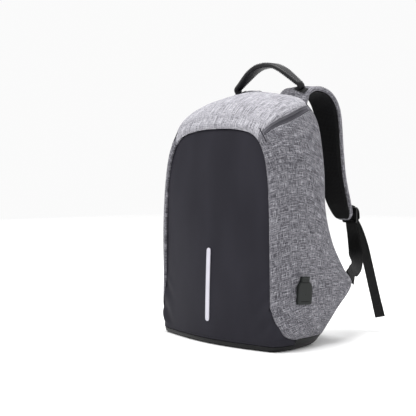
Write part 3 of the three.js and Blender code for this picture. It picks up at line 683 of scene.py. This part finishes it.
def spacer_mesh(name):
    """Padded mesh with a cell every three millimetres."""
    s = Shader(name, Specular_IOR_Level=0.12, Sheen_Weight=0.03)
    cells = s.node("TexVoronoi", {"Vector": s.coordinates(3.2, 2.6), "Scale": 1.0, "Randomness": 0.12},
                   voronoi_dimensions="2D", feature="F1")
    s.color(s.ramp(cells, (0.25, "050506"), (0.55, "1d1d1f")))
    s.bump(cells, 0.8, 0.9)
    s.rough(s.between(cells, 0.2, 0.6, 0.95, 0.8))
    return s.material


def webbing(name, base, light):
    s = Shader(name, Specular_IOR_Level=0.16, Sheen_Weight=0.02)
    one, two = s.waves(2.9, 1.3)
    shade = s.noise(3, 1.2, 3, 0.6)
    s.color(s.ramp(shade, (0.35, base), (0.65, light)))
    s.bump(s.math("ADD", one, s.math("MULTIPLY", two, 0.5)), 0.3, 0.8)
    s.rough(s.between(shade, 0.3, 0.7, 0.55, 0.75))
    return s.material


def moulded(name, base, roughness, grain_size, shine):
    s = Shader(name, Specular_IOR_Level=shine)
    place = s.node("TexCoord").node.outputs["Object"]
    grain = s.node("TexNoise", {"Vector": place, "Scale": 1000 / grain_size, "Detail": 2.0})
    light = tuple(min(c * 1.35, 1) for c in linear(base)[:3]) + (1,)
    s.color(s.ramp(grain, (0.3, base), (0.8, light)))
    s.rough(s.between(grain, 0.3, 0.7, roughness - 0.06, roughness + 0.06))
    s.bump(grain, 0.06, 0.3)
    return s.material


def reflector(name):
    s = Shader(name, Specular_IOR_Level=0.5, Coat_Weight=0.3, Coat_Roughness=0.2)
    place = s.node("TexCoord").node.outputs["Object"]
    cells = s.node("TexVoronoi", {"Vector": place, "Scale": 900.0, "Randomness": 0.2}, feature="F1")
    x = s.node("SeparateXYZ", {0: place})
    edge = s.between(s.math("ABSOLUTE", x), 0.0036, 0.0048, 0.0, 1.0)
    tone = s.math("SUBTRACT", s.between(cells, 0.0, 0.7, 1.0, 0.85), s.math("MULTIPLY", edge, 0.4))
    s.color(s.ramp(tone, (0.3, "77757f"), (1.0, "c6c4ce")))
    s.bump(cells, 0.15, 0.4)
    s.main.inputs["Roughness"].default_value = 0.4
    return s.material


# The sides take the heather a little darker, as painted shade, and the top much lighter, as painted light
# from above: lit and shaded copies of one grey.
GREY_SIDE_PAINTED_SHADE = heather("grey_heather", 0.03, 0.52, 20)
GREY_TOP_PAINTED_LIGHT = heather("grey_heather_top_painted_light", -0.045, 0.74, 30)
GREY_STRAP = heather("grey_heather_strap", 0.012, 0.42)
# The sunk strip under the roll of the top cloth is smoother cloth painted darker as the shade of the recess,
# and its rows along the seam are darker still as painted shade.
SUNK_STRIP_PAINTED_SHADE = coated("grey_lens_painted_shade", "626167", "77767c", 0.8, 0.1)
SEAM_PAINTED_SHADE = coated("lens_painted_shade_deep", "454449", "515056", 0.9, 0.05)
TACK_THREAD = moulded("tack_thread", "26252c", 0.75, 0.4, 0.15)
BLACK = coated("black_coated", "1e1d24", "25242b", 0.62, 0.12)
BASE_BLACK = coated("base_black", "08080a", "0d0d0f", 0.4, 0.22)
LINER = spacer_mesh("black_mesh")
WEB = webbing("black_webbing", "060607", "0e0e0f")
HANDLE = coated("dark_handle", "0a0a0c", "111013", 0.42, 0.25)
THREAD = moulded("dark_thread", "2b2a2e", 0.7, 0.4, 0.2)
GREY_THREAD = moulded("grey_thread", "4a494e", 0.75, 0.4, 0.2)
PLASTIC = moulded("black_plastic", "060607", 0.38, 0.6, 0.3)
# A darker rubber for the ridge, the dot and the neck line of the port cover: painted shade, so that the
# raised bars read as grooves.
RUBBER_PAINTED_GROOVE_SHADE = moulded("rubber_painted_groove_shade", "0c0e0d", 0.55, 0.8, 0.2)
RUBBER = moulded("dark_rubber", "171a19", 0.45, 0.8, 0.25)
REFLECTOR = reflector("pale_reflector")


# Side panels

def side_sheet():
    depths = np.linspace(0, 1, 92) ** 1.5
    lower_rows = HEM + (CORNER_TOP - HEM) * np.linspace(0, 1, 46) ** 1.6
    front = corner_edge(lower_rows)[:, None]
    lower = skin(lower_rows[:, None], mix(front, 1, depths[None]))
    share = np.linspace(0, 1, 112)[1:, None]
    upper = skin(mix(CORNER_TOP, fold_section(depths)[None], share), depths[None])
    points = np.concatenate([lower, upper])
    normals = grid_normals(points)
    away = arc_length(points, 1)
    climb = arc_length(points, 0)
    calm = smooth(away, 2, 26) * smooth(away[:, -1:] - away, 2, 26) * smooth(climb, 2, 26)
    wave = ripple(points, 70, 1) * 1.5 + ripple(points, 24, 2) * 0.35
    roll = brim(points) * smooth(points[..., 2], 110, 200)
    points = points + normals * (wave * calm + roll)[..., None]
    uv = np.stack([arc_length(points, 1), arc_length(points, 0) + 3], -1)
    points, uv = turn_edges(points, uv, EVERY_EDGE)
    points[..., 2] = np.maximum(points[..., 2], SIDE_FOOT)
    return points, uv


def make_sides():
    points, uv = side_sheet()
    for side, name in SIDES:
        piece = panel(f"side_cloth_{name}", sided(side)(points), uv, GREY_SIDE_PAINTED_SHADE, side < 0)
        dress(piece, "grey_heather", f"side_panel_{name}")


# Top panel

def top_half():
    depths = np.linspace(0, 1, 100) ** 1.4
    edge = fold_section(depths) + SEAM / 42
    middle = skin(TOP, depths)
    start = skin(edge, depths)
    length = np.linalg.norm(middle - start, axis=-1)[None]
    along = np.linspace(0, len(FOLD_CURVE) - 1, 66)
    over, flat, lift = (column(FOLD_CURVE, k, along)[:, None] for k in range(3))
    bow = fold_bow(depths)[None]
    distance = mix(flat, over, np.clip(bow * 1.2, 0, 1))
    share = np.clip(distance / length, 0, 1)
    rest = mix(share[-1:], 1, np.linspace(0, 1, 22)[1:, None])
    lift = np.concatenate([lift * bow, np.zeros_like(rest)])
    share = np.concatenate([share, rest])
    section = mix(edge[None], TOP, share)
    points = skin(section, depths[None])
    even = np.linspace(0, 1, len(share))
    normals = grid_normals(skin(mix(edge[None], TOP, even[:, None]), depths[None]))
    normals = unit(np.stack([read_path(share[:, j], even, normals[:, j]) for j in range(len(depths))], 1))
    calm = np.clip(np.minimum(depths, 1 - depths) * 8, 0, 1)[None]
    wave = ripple(points, 60, 3) * 1.6 + ripple(points, 20, 4) * 0.3
    roll = brim(points) * smooth(share, 0.08, 0.25)
    return points + normals * (lift + roll + wave * calm * smooth(share, 0.05, 0.2))[..., None]


def make_top():
    right = top_half()
    left = mirrored(right[:-1][::-1])
    points = np.concatenate([right, left])
    v = arc_length(points, 0)
    uv = np.stack([arc_length(points, 1), v - v[len(right) - 1]], -1)
    points, uv = turn_edges(points, uv, EVERY_EDGE)
    piece = panel("top_cloth", points, uv, GREY_TOP_PAINTED_LIGHT)
    piece.data.materials.append(SUNK_STRIP_PAINTED_SHADE)
    piece.data.materials.append(SEAM_PAINTED_SHADE)
    # Faces of the sunk strip take the painted shade, and those next to the seam, away from its ends, take
    # the deeper painted shade.
    rows, cols = points.shape[:2]
    for index, polygon in enumerate(piece.data.polygons):
        row, place = divmod(index, cols - 1)
        from_seam = min(row, rows - 2 - row)
        shaded = from_seam < SHADE_ROWS and SHADE_ENDS < place < cols - SHADE_ENDS
        polygon.material_index = int(from_seam < LENS_ROWS) + int(shaded)
    dress(piece, "grey_heather", "top_panel")


# Front panel

def make_front():
    hem = section_at(HEM_UP)
    corner_rows = HEM + (CORNER_TOP - HEM) * np.linspace(0, 1, 44) ** 1.5
    low = np.concatenate([[hem, mix(hem, HEM, 0.5)], corner_rows])
    rows = np.concatenate([low, np.linspace(CORNER_TOP, TOP, 120)[1:]])
    across = 1 - (1 - np.linspace(0, 1, 56)) ** 1.5
    middle = face(rows[:, None], across[None])
    corner = np.linspace(0, 1, 34)[1:] ** 1.6
    edge = corner_edge(rows)[:, None]
    wrap = skin(rows[:, None], edge * corner[None])
    tight = (edge <= 0.0015)[..., None]
    wrap = np.where(tight, middle[:, -1:], wrap)
    half = np.concatenate([middle, wrap], 1)
    turned = smooth(corner_turn(rows), 0, 0.3)[:, None] * np.ones(half.shape[:2])
    turned[:, :20] = 0
    half = relax(half, turned, 90)
    inward = np.sign(half[:, -1]) * np.array([-1.5, 0, 0])
    tuck = [half[:, -1] + (np.array([0, 3, 0]) + inward) * share for share in (0.35, 0.7, 1)]
    half = np.concatenate([half, np.stack(tuck, 1)], 1)
    points = np.concatenate([mirrored(half[:, :0:-1]), half], 1)
    normals = grid_normals(points)
    fade = smooth(points[..., 2], 14, 60) * (1 - smooth(points[..., 2], 330, 370))
    wave = ripple(points, 90, 5) * 1.3 * fade
    across, up = np.abs(points[..., 0]), points[..., 2]
    low_corner = smooth(across, 95, 135) * (1 - smooth(up, 70, 150)) * smooth(up, 12, 24)
    diagonal = np.sin((up * 0.8 - across * 0.62 + ripple(points, 40, 6) * 9) / 5.5)
    points = points + normals * (wave + diagonal * low_corner * 1.7)[..., None]
    uv = points[..., [0, 2]].copy()
    across = np.abs(points[..., 0])
    uv[..., 0] = np.sign(points[..., 0]) * (across + (points[..., 1] + FRONT) * (across > 130))
    points, uv = turn_edges(points, uv, ((0, 0),), 1)
    dress(panel("front_cloth", points, uv, BLACK), "black_coated", "front_panel")
    hem_rows = np.full(160, section_at(HEM_UP + 3.5))
    path = face(hem_rows, np.linspace(-0.99, 0.99, 160)) + np.array([0, -0.2, 0])
    thread = stitches("front_hem_stitches", [(path, (0, -1, 0))], THREAD)
    dress(thread, "black_coated")


# Base

def perimeter(level, spot):
    """A point on the outline of the base. Spot holds its kind, its place and its side."""
    kind, place, side = spot
    section = HEM * level / HEM_LEVEL
    if kind == "face":
        return face(section, place) * np.array([side, 1, 1])
    if kind == "side":
        return skin(section, place) * np.array([side, 1, 1])
    return skin(section, 1.0) * np.array([place, 1, 1])


def make_base():
    step = CORNER_REACH + SEAM / FRONT
    after = step + 0.004
    under_front = [("face", a, 1) for a in 1 - (1 - np.linspace(0, 1, 40)) ** 1.6][:-1]
    under_front += [("side", step * d ** 1.7, 1) for d in np.linspace(0, 1, 26)]
    under_side = [("side", after + (1 - after) * d, 1) for d in np.linspace(0, 1, 40)]
    back = [("back", a, 1) for a in np.linspace(0.96, -0.96, 50)]
    right = under_front + under_side
    ring = right + back + [(kind, place, -1) for kind, place, _ in right[:0:-1]]
    tops = [HEM_UP - SEAM] * len(under_front) + [BASE_TOP] * len(under_side)
    tops = np.array(tops + [BASE_TOP] * len(back) + tops[:0:-1])
    rows = []

    def ring_at(up, inset):
        level = np.array([perimeter(u, s) for u, s in zip(up, ring)])
        along = np.roll(level, -1, 0) - np.roll(level, 1, 0)
        inward = unit(np.stack([-along[:, 1], along[:, 0], np.zeros(len(ring))], -1))
        level = level + inward * inset
        level[:, 2] = up
        return level

    for angle in np.linspace(0, math.pi / 2, 9):
        up = np.full(len(ring), BASE_ROUND * (1 - math.cos(angle)))
        rows.append(ring_at(up, BASE_ROUND * (1 - math.sin(angle))))
    for share in (0.35, 0.7, 1.0):
        rows.append(ring_at(BASE_ROUND + (tops - 0.6 - BASE_ROUND) * share, 0))
    rows.append(ring_at(tops, 0.6))
    rows.append(ring_at(tops, 4))
    for share in (0.9, 0.6, 0.3, 0.02):
        rows.insert(0, rows[-len(rows)] * np.array([share, share, 1]))
    points = np.array(rows)
    corner = np.hypot(np.abs(points[..., 0]) - 134, points[..., 1] + FRONT)
    heights = points[..., 2].copy()
    points = relax(points, 1 - smooth(corner, 14, 34), 90, closed=True)
    points[..., 2] = heights
    closed = np.concatenate([points, points[:, :1]], 1)
    uv = np.stack([arc_length(closed, 1), arc_length(closed, 0)], -1)
    piece = panel("base_cloth", closed, uv, BASE_BLACK)
    dress(piece, "black_coated", "base_tray")


# Back

def rear_rim(section, thickness):
    """Edge of the back where it meets the side panel: across, back, up."""
    nudge = 0.02
    edge = skin(section, 1.0)
    along = skin(np.minimum(section + nudge, TOP), 1.0) - skin(section - nudge, 1.0)
    outward = unit(np.stack([along[..., 2], np.zeros_like(section), -along[..., 0]], -1))
    inner = 1 - (thickness + SEAM) / (FRONT + edge[..., 1])
    from_edge = ((skin(section, inner) - edge) * outward).sum(-1)
    rim = edge + outward * (np.minimum(from_edge, 0) - SIDE_WALL - SEAM + RIM_LIFT)[..., None]
    rim[..., 0] = np.maximum(rim[..., 0], 0)
    return rim


def pad_rise(across, up):
    """Bulge of the back pad on both sides of its middle channel."""
    channel = 1 - np.exp(-((across / PAD_CHANNEL) ** 2))
    rim = 1 - np.abs(across) ** 6
    foot = smooth(up, *PAD_FOOT)
    head = 1 - smooth(up, *PAD_HEAD)
    return PAD_BULGE * channel * rim * foot * head


def rear_grid(rim, across, rise, size, seed, depth):
    """Points between both edges of the back, with soft waves away from them."""
    points = np.stack([
        rim[:, :1] * across[None],
        rim[:, 1:2] + rise,
        np.broadcast_to(rim[:, 2:], (len(rim), len(across))),
    ], -1)
    points[..., 1] += ripple(points, size, seed) * depth * (1 - across ** 8)[None]
    return points, points[..., [0, 2]].copy()


def make_back():
    section = np.concatenate([np.linspace(TIP + 0.02, FOLD, 110), np.linspace(FOLD, TOP - 0.01, 50)[1:]])
    rim = rear_rim(section, PAD_WALL)
    across = np.sin(np.linspace(-math.pi / 2, math.pi / 2, 110))
    rise = pad_rise(across[None], rim[:, 2:] / HEIGHT)
    points, uv = rear_grid(rim, across, rise, 45, 8, 1.1)
    points, uv = turn_edges(points, uv, ((0, 0), (1, 0), (1, 1)), 1.5, 5, -1)
    piece = panel("back_padding", points, uv, LINER, True)
    dress(piece, "black_mesh", "back_pad", fill=0.7)
    section = np.linspace(HEM + 0.02, TIP - 0.02, 40)
    rim = rear_rim(section, REAR_WALL)
    across = np.linspace(-1, 1, 60)
    points, uv = rear_grid(rim, across, np.zeros((1, 60)), 50, 9, 0.8)
    points, uv = turn_edges(points, uv, EVERY_EDGE, 1, EDGE_DEPTH, -1)
    dress(panel("rear_lower_cloth", points, uv, BLACK, True), "black_coated", "rear_lower_panel")


# Straps

BAG_BACK = SECTIONS[TOP, REAR_BACK] * BACK


def frames_along(centres, wide):
    """Centres of a route with its directions of width and of thickness."""
    along = unit(np.gradient(centres, axis=0))
    wide = unit(wide - along * (wide * along).sum(-1, keepdims=True))
    return centres, wide, np.cross(wide, along)


def strap_frames(positions):
    read = lambda index: column(STRAP_ROUTE, index, positions)
    centres = np.stack([read(0) * STRAP_ACROSS, BAG_BACK + read(1) * STRAP_REACH, read(2) * HEIGHT], -1)
    lean = np.radians(read(4))
    wide = np.stack([np.cos(lean), np.zeros_like(lean), -np.sin(lean)], -1)
    return frames_along(centres, wide)


def strap_width(positions):
    return column(STRAP_ROUTE, 3, positions) * STRAP_WIDTH


def pad_outline(width, thick, crown, count=9, flat_count=10):
    """Offsets round a flat section with round edges, crowned on its faces."""
    offsets = []
    flat = width / 2 - thick / 2
    for end in (1, -1):
        for angle in np.linspace(-90, 90, count):
            a = math.radians(angle)
            offsets.append((end * (flat + thick / 2 * math.cos(a)), end * thick / 2 * math.sin(a)))
        for share in np.linspace(0, 1, flat_count)[1:-1]:
            puff = crown * math.sin(math.pi * share)
            offsets.append((end * flat * (1 - 2 * share), end * (thick / 2 + puff)))
    return np.array(offsets)


def loft(frames, outlines, shift=0.0):
    centres, wide, thick = frames
    rings = []
    for centre, w, t, outline in zip(centres, wide, thick, outlines):
        rings.append(centre + outline[:, :1] * w + (outline[:, 1:] + shift) * t)
    return np.array(rings)


def root_sag(points, frames, positions):
    """How far the inner edge of a strap hangs down behind the top seam."""
    inward = frames[0][:, None, 0] - points[..., 0]
    root = smooth(positions, 0.6, 1.5) * (1 - smooth(positions, 2.4, 4))
    return 9 * smooth(inward, -2, 38) * root[:, None]


def make_strap(side, name):
    turn = sided(side)
    end = len(STRAP_ROUTE) - 1
    positions = np.linspace(0, end, STRAP_RINGS)
    frames = strap_frames(positions)
    widths = strap_width(positions)
    last = smooth(positions, end - 0.25, end)
    outlines = [pad_outline(w - 3 * e, STRAP_THICK - 2 * CROWN - 3 * e, CROWN) for w, e in zip(widths, last)]
    rings = loft(frames, outlines)
    rings = rings + (ripple(rings, 34, 11 + side) * 0.7)[..., None] * frames[2][:, None]
    rings[..., 2] -= root_sag(rings, frames, positions)
    strap = tube(f"strap_pad_{name}", turn(rings), GREY_STRAP)
    dress(strap, "grey_heather", f"shoulder_strap_{name}", fill=0.7)
    part = slice(LINING_FROM, -6)
    inner = tuple(values[part] for values in frames)
    shift = -(STRAP_THICK / 2 + SEAT + LINING_THICK / 2) + 0.5
    outlines = [pad_outline(w - 2 * LINING_MARGIN, LINING_THICK + 0.6, 0.5, 5) for w in widths[part]]
    rings = loft(inner, outlines, shift)
    dress(tube(f"strap_mesh_{name}", turn(rings), LINER), "black_mesh", f"strap_lining_{name}")
    paths = []
    for edge in (1, -1):
        offset = edge * (widths / 2 - 3.4)[:, None]
        path = frames[0] + frames[1] * offset + frames[2] * (STRAP_THICK / 2 - 0.35)
        path[:, 2] -= root_sag(path[:, None], frames, positions)[:, 0]
        paths.append((turn(path[20:-6]), turn(frames[2][20:-6])))
    dress(stitches(f"strap_stitches_{name}", paths, GREY_THREAD), "grey_heather")


# Webbing

def width_axis(turn, dip):
    turn, dip = np.radians(turn), np.radians(dip)
    return np.stack([np.cos(turn) * np.cos(dip), np.sin(turn) * np.cos(dip), -np.sin(dip)], -1)


STRAP_TIP = STRAP_ROUTE[-1, 2] * HEIGHT
LOCK = np.array([STRAP_ACROSS, BAG_BACK + STRAP_REACH + LOCK_BACK, STRAP_TIP + LOCK_UP])


def web_outline(width, thick):
    return pad_outline(width, thick, 0, 5, 12)


def sew(name, rings, node):
    dress(tube(name, rings, WEB), "black_webbing", node)


def anchor_frame():
    """Root of an anchor tab, the direction of its seam and the direction in which it stands out."""
    seam = skin(ANCHOR_SECTION, 1.0)
    along = unit(skin(ANCHOR_SECTION + 0.1, 1.0) - skin(ANCHOR_SECTION - 0.1, 1.0))
    outward = unit(ANCHOR_AIM - along * (ANCHOR_AIM @ along))
    return seam - RIGHTWARD * (ANCHOR_THICK / 2 + SEAT), along, outward


def ribbon_rings(frames):
    return loft(frames, [web_outline(WEB_WIDTH, WEB_THICK)] * len(frames[0]))


def sewn_row(frame, reach, lift):
    """Path of a row of thread across a ribbon, with its normal."""
    centre, wide, thick = frame
    row = np.linspace(-reach, reach, 12)[:, None]
    return centre + wide * row + thick * lift, thick * np.sign(lift)


WEB_START = LOCK + np.array([0, LOCK_THICK / 2 + SEAT + WEB_THICK / 2, WEB_TOP])


def make_lower_webbing(name, turn):
    root, along, outward = anchor_frame()
    end = root + outward * (ANCHOR_LENGTH + SEAT)
    positions = np.linspace(0, len(WEBBING_ROUTE) - 1, 90)
    read = lambda index: column(WEBBING_ROUTE, index, positions)
    centres = np.stack([mix(WEB_START[k], end[k], read(k)) for k in range(3)], -1)
    wide = width_axis(read(3), read(4))
    reach = np.array([6, 3, 0])[:, None]
    centres = np.concatenate([centres, end + outward * reach])
    wide = np.concatenate([wide, np.broadcast_to(-along, (3, 3))])
    frames = [np.array(part) for part in frames_along(centres, wide)]
    frames[1][-3:] = -along
    frames[2][-3:] = np.cross(along, outward)
    sew(f"web_{name}", turn(ribbon_rings(frames)), f"lower_webbing_{name}")


def make_tail(name, turn):
    positions = np.linspace(0, len(TAIL_ROUTE) - 1, 90)
    read = lambda index: column(TAIL_ROUTE, index, positions)
    drop = np.stack([read(0) * TAIL_SWING[0], read(1) * TAIL_SWING[1], -read(2) * TAIL_DROP], -1)
    centres = WEB_START + np.array([0, WEB_THICK + SEAM, 0]) + drop
    frames = frames_along(centres, width_axis(read(3), np.zeros_like(positions)))
    hem = WEB_THICK * TAIL_HEM_THICK
    outlines = [web_outline(WEB_WIDTH, hem if p > TAIL_HEM else WEB_THICK) for p in positions]
    sew(f"web_tail_{name}", turn(loft(frames, outlines)), f"webbing_tail_{name}")
    frame = [part[-7] for part in frames]
    lift = hem / 2 + THREAD_LIFT
    return [sewn_row(frame, WEB_WIDTH / 2 - 2.5, face_side * lift) for face_side in (1, -1)]


def make_anchor(name, turn):
    root, along, outward = anchor_frame()
    reach = np.linspace(SEAT + ANCHOR_ROOT, ANCHOR_LENGTH, 12)
    frames = frames_along(root + outward * reach[:, None], -along)
    widths = np.interp(reach, [0, ANCHOR_LENGTH], [WEB_WIDTH + ANCHOR_SPREAD, WEB_WIDTH + 1])
    outlines = [web_outline(w, ANCHOR_THICK) for w in widths]
    sew(f"anchor_tab_{name}", turn(loft(frames, outlines)), f"webbing_anchor_{name}")
    frame = [part[5] for part in frames]
    lift = ANCHOR_THICK / 2 + THREAD_LIFT
    return [sewn_row(frame, WEB_WIDTH / 2, face_side * lift) for face_side in (1, -1)]


def make_lock_tab(name, turn):
    """Webbing that carries the ladder lock, and the box of thread that holds it on the strap."""
    centres, _, thick = strap_frames(np.linspace(*TAB_PLACE, 24))
    sewn = centres + thick * (STRAP_THICK / 2 + SEAT + WEB_THICK / 2)
    bar_top = LOCK + np.array([0, 0, LOCK_HEIGHT / 2 + SEAT + WEB_THICK / 2])
    free = mix(sewn[-1], bar_top, np.linspace(0, 1, 16)[1:, None])
    free[:, 2] += 1.2 * np.sin(np.linspace(0, math.pi, 16)[1:])
    path = np.concatenate([sewn, free])
    frames = frames_along(path, RIGHTWARD)
    sew(f"lock_tab_{name}", turn(ribbon_rings(frames)), f"adjuster_tab_{name}")
    centres, wide, thick = (part[2:20] for part in frames)
    reach = WEB_WIDTH / 2 - STITCH_INSET
    lift = WEB_THICK / 2 + THREAD_LIFT
    rows = [(centres + wide * edge * reach + thick * lift, thick) for edge in (-1, 1)]
    return rows + [sewn_row((centres[k], wide[k], thick[k]), reach, lift) for k in (0, -1)]


def make_webbing(side, name):
    turn = sided(side)
    make_lower_webbing(name, turn)
    rows = make_tail(name, turn) + make_anchor(name, turn) + make_lock_tab(name, turn)
    paths = [(turn(path), turn(normals)) for path, normals in rows]
    dress(stitches(f"web_stitches_{name}", paths, THREAD, 3.0, 2.3, 0.33), "black_webbing")


# Handle

def evened(path, run, count):
    """The path with count points, at even steps of run."""
    return read_path(np.linspace(0, run[-1], count), run, path)


def rounded(path, rounds):
    """The path with its bends smoothed and its ends as they are."""
    for _ in range(rounds):
        path[1:-1] = (path[:-2] + path[1:-1] * 2 + path[2:]) / 4
    return path


def patch_frame():
    centres, wide, thick = strap_frames(np.array([PATCH_PLACE - 0.2, PATCH_PLACE, PATCH_PLACE + 0.2]))
    centre, wide, thick = centres[1], wide[1], thick[1]
    outside = (HANDLE_SPAN / 2 - centre[0]) / wide[0]
    centre = centre + wide * outside + thick * (STRAP_THICK / 2 + PATCH_LIFT)
    return centre, wide, thick, np.cross(thick, wide)


def handle_path():
    """Route of the handle from its left foot to its right one."""
    centre, _, thick, _ = patch_frame()
    foot = centre + thick * (PATCH_THICK / 2 + SEAT)
    neck = foot + thick * HANDLE_THICK
    last = len(HANDLE_ARCH) - 1
    positions = np.linspace(0, last, 48)
    across = column(HANDLE_ARCH, 0, positions) * neck[0]
    up = neck[2] + column(HANDLE_ARCH, 1, positions) * HANDLE_RISE
    back = mix(neck[1], HANDLE_BACK, smooth(positions, 0, last))
    right = np.stack([across, back, up], -1)[::-1]
    lead = mix(neck, foot, np.linspace(0, 1, 6)[1:, None])
    right = np.concatenate([right, lead])
    path = np.concatenate([mirrored(right[:0:-1]), right])
    return rounded(evened(path, path_length(path), 120), 3)


def make_handle():
    path = handle_path()
    frames = frames_along(path, BACKWARD)
    count = len(path)
    to_end = np.minimum(np.arange(count), np.arange(count)[::-1]) / count
    widths = HANDLE_WIDTH * mix(HANDLE_FOOT, 1, smooth(to_end, 0.02, 0.3))
    rings = loft(frames, [pad_outline(width, HANDLE_BAND, CROWN) for width in widths])
    dress(tube("handle_band", rings, HANDLE), "dark_handle", "carry_handle", fill=0.5)
    paths = []
    for edge in (1, -1):
        for face_side in (1, -1):
            offset = edge * (widths / 2 - STITCH_INSET)[:, None]
            path = frames[0] + frames[1] * offset + frames[2] * face_side * (HANDLE_BAND / 2 + 0.25)
            paths.append((path[6:-6], frames[2][6:-6] * face_side))
    dress(stitches("handle_stitches", paths, THREAD), "dark_handle")


def make_patches():
    """Sleeves of webbing where the handle enters the straps."""
    centre, wide, thick, along = patch_frame()
    shares = np.linspace(-1, 1, 21)
    u, v = np.meshgrid(shares, shares)
    half_length, half_width = PATCH_HALF
    round_u = u * np.sqrt(np.clip(1 - 0.12 * v ** 8, 0, 1)) * half_length
    round_v = v * np.sqrt(np.clip(1 - 0.25 * u ** 8, 0, 1)) * half_width
    height = 0.9 * (1 - np.maximum(np.abs(u), np.abs(v)) ** 6) - 1.04 * v ** 2 - 0.4
    points = centre + wide * round_u[..., None] + along * round_v[..., None] + thick * height[..., None]
    uv = np.stack([u * half_length, v * half_width], -1)
    for side, name in SIDES:
        sleeve = panel(f"handle_sleeve_{name}", sided(side)(points), uv, WEB, side > 0)
        dress(sleeve, "black_webbing", f"handle_patch_{name}")


# Tacks and fittings

def make_tacks():
    """Short dense bars of thread that close both ends of the fold."""
    paths = []
    for depth, length in TACKS:
        for side, _ in SIDES:
            turn = sided(side)
            at = skin(FOLD - 0.02, depth)
            up = unit(skin(FOLD + 0.1, depth) - skin(FOLD - 0.1, depth))
            back = unit(skin(FOLD, min(depth + 0.01, 1)) - skin(FOLD, depth - 0.01))
            normal = unit(np.cross(back, up))
            for share in np.linspace(-0.5, 0.5, length):
                centre = at + up * share * length + normal * TACK_LIFT
                path = np.array([centre - back * TACK_HALF, centre, centre + back * TACK_HALF])
                paths.append((turn(path), turn(normal)))
    dress(stitches("fold_tacks", paths, TACK_THREAD, 2.2, 2.1, 0.6), "grey_heather")


def make_lock_lips():
    """The curved lip of each ladder lock, by which it is lifted to loosen the webbing."""
    path = LOCK + np.array([(0, back, up) for back, up in LOCK_LIP])
    path = rounded(evened(path, np.arange(len(path)), 24), 8)
    frames = frames_along(path, RIGHTWARD)
    widths = np.interp(np.arange(24), [0, 6, 20, 23], [33, 31, 30, 26])
    rings = loft(frames, [pad_outline(width, LIP_THICK, 0.2) for width in widths])
    for side, name in SIDES:
        dress(tube(f"lock_lip_{name}", sided(side)(rings), PLASTIC), "black_plastic")


def finish_fittings():
    """Materials and rounded edges of the hard fittings, whose shapes come from the frame."""
    for name, material, width in (
        ("ladder_lock_left", PLASTIC, 0.9),
        ("ladder_lock_right", PLASTIC, 0.9),
        ("usb_cover", RUBBER, 0.5),
        ("reflective_strip", REFLECTOR, 0.3),
    ):
        node = frame["nodes"][name]
        node.data.materials.clear()
        node.data.materials.append(material)
        bevel = node.modifiers.new("round", "BEVEL")
        bevel.width = width / 1000
        bevel.segments = 3
        bevel.limit_method = "ANGLE"
        bevel.angle_limit = math.radians(50)


def make_usb_details():
    """Low rounded bars on the cover: a ridge near its foot, a dot, a line at its neck and a lip over it. All
    but the lip are painted darker, as shade, so that they read as grooves.
    """
    section = float(section_at(USB_UP))
    at = skin(section, USB_DEPTH)
    up = unit(skin(section + 0.2, USB_DEPTH) - skin(section - 0.2, USB_DEPTH))
    back = unit(skin(section, USB_DEPTH + 0.1) - skin(section, USB_DEPTH - 0.1))
    out = unit(np.cross(back, up))
    back = np.cross(up, out)
    angles = np.linspace(0, math.tau, 12, endpoint=False)[:, None]
    for name, low, high, half, thick in USB_LINES:
        rings = []
        for share in np.linspace(-1, 1, 9):
            pinch = math.sqrt(max(1 - abs(share) ** 6, 0.02))
            centre = at + back * half * share + up * (low + high) / 2 + out * USB_FACE
            height = up * np.cos(angles) * (high - low) / 2
            rings.append(centre + (height + out * np.sin(angles) * thick) * pinch)
        dress(tube(name, rings, RUBBER if name == "usb_lip" else RUBBER_PAINTED_GROOVE_SHADE), "dark_rubber")


make_sides()
make_top()
make_front()
make_base()
make_back()
for side, name in SIDES:
    make_strap(side, name)
    make_webbing(side, name)
make_handle()
make_patches()
make_tacks()
make_usb_details()
make_lock_lips()
finish_fittings()


# Floor, light and camera

def make_floor():
    mesh = bpy.data.meshes.new("floor")
    mesh.from_pydata([(-4, -4, 0), (4, -4, 0), (4, 4, 0), (-4, 4, 0)], [], [(0, 1, 2, 3)])
    s = Shader("floor_paper", Roughness=0.9, Specular_IOR_Level=0.1)
    s.main.inputs["Base Color"].default_value = (0.93, 0.93, 0.93, 1)
    mesh.materials.append(s.material)
    made = add_object("floor", mesh)


def area_light(name, place, size, power, target=(0, 0, 0.25)):
    data = bpy.data.lights.new(name, "AREA")
    data.shape = "RECTANGLE"
    data.size, data.size_y = size
    data.energy = power
    made = add_object(name, data)
    made.location = place
    made.rotation_euler = (Vector(target) - Vector(place)).to_track_quat("-Z", "Y").to_euler()


def make_light():
    world = bpy.data.worlds.new("studio")
    world.use_nodes = True
    back = world.node_tree.nodes["Background"]
    back.inputs[0].default_value = (1, 1, 1, 1)
    back.inputs[1].default_value = SKY
    bpy.context.scene.world = world
    for lamp in LAMPS:
        area_light(*lamp)


def make_camera():
    azimuth = math.radians(CAMERA_TURN)
    data = bpy.data.cameras.new("camera")
    data.sensor_width = SENSOR
    data.lens = FOCAL_PX / FRAME_PX * SENSOR
    data.clip_start = 0.05
    made = add_object("camera", data)
    made.location = (CAMERA_AWAY * math.sin(azimuth), -CAMERA_AWAY * math.cos(azimuth), CAMERA_UP)
    yaw = math.atan((COLUMN_PX - FRAME_PX / 2) / FOCAL_PX)
    pitch = -math.atan((FRAME_PX / 2 - HORIZON_PX) / FOCAL_PX)
    made.rotation_euler = (math.pi / 2 + pitch, 0, azimuth + yaw)
    bpy.context.scene.camera = made


make_floor()
make_light()
make_camera()
view = bpy.context.scene.view_settings
view.view_transform = "Standard"
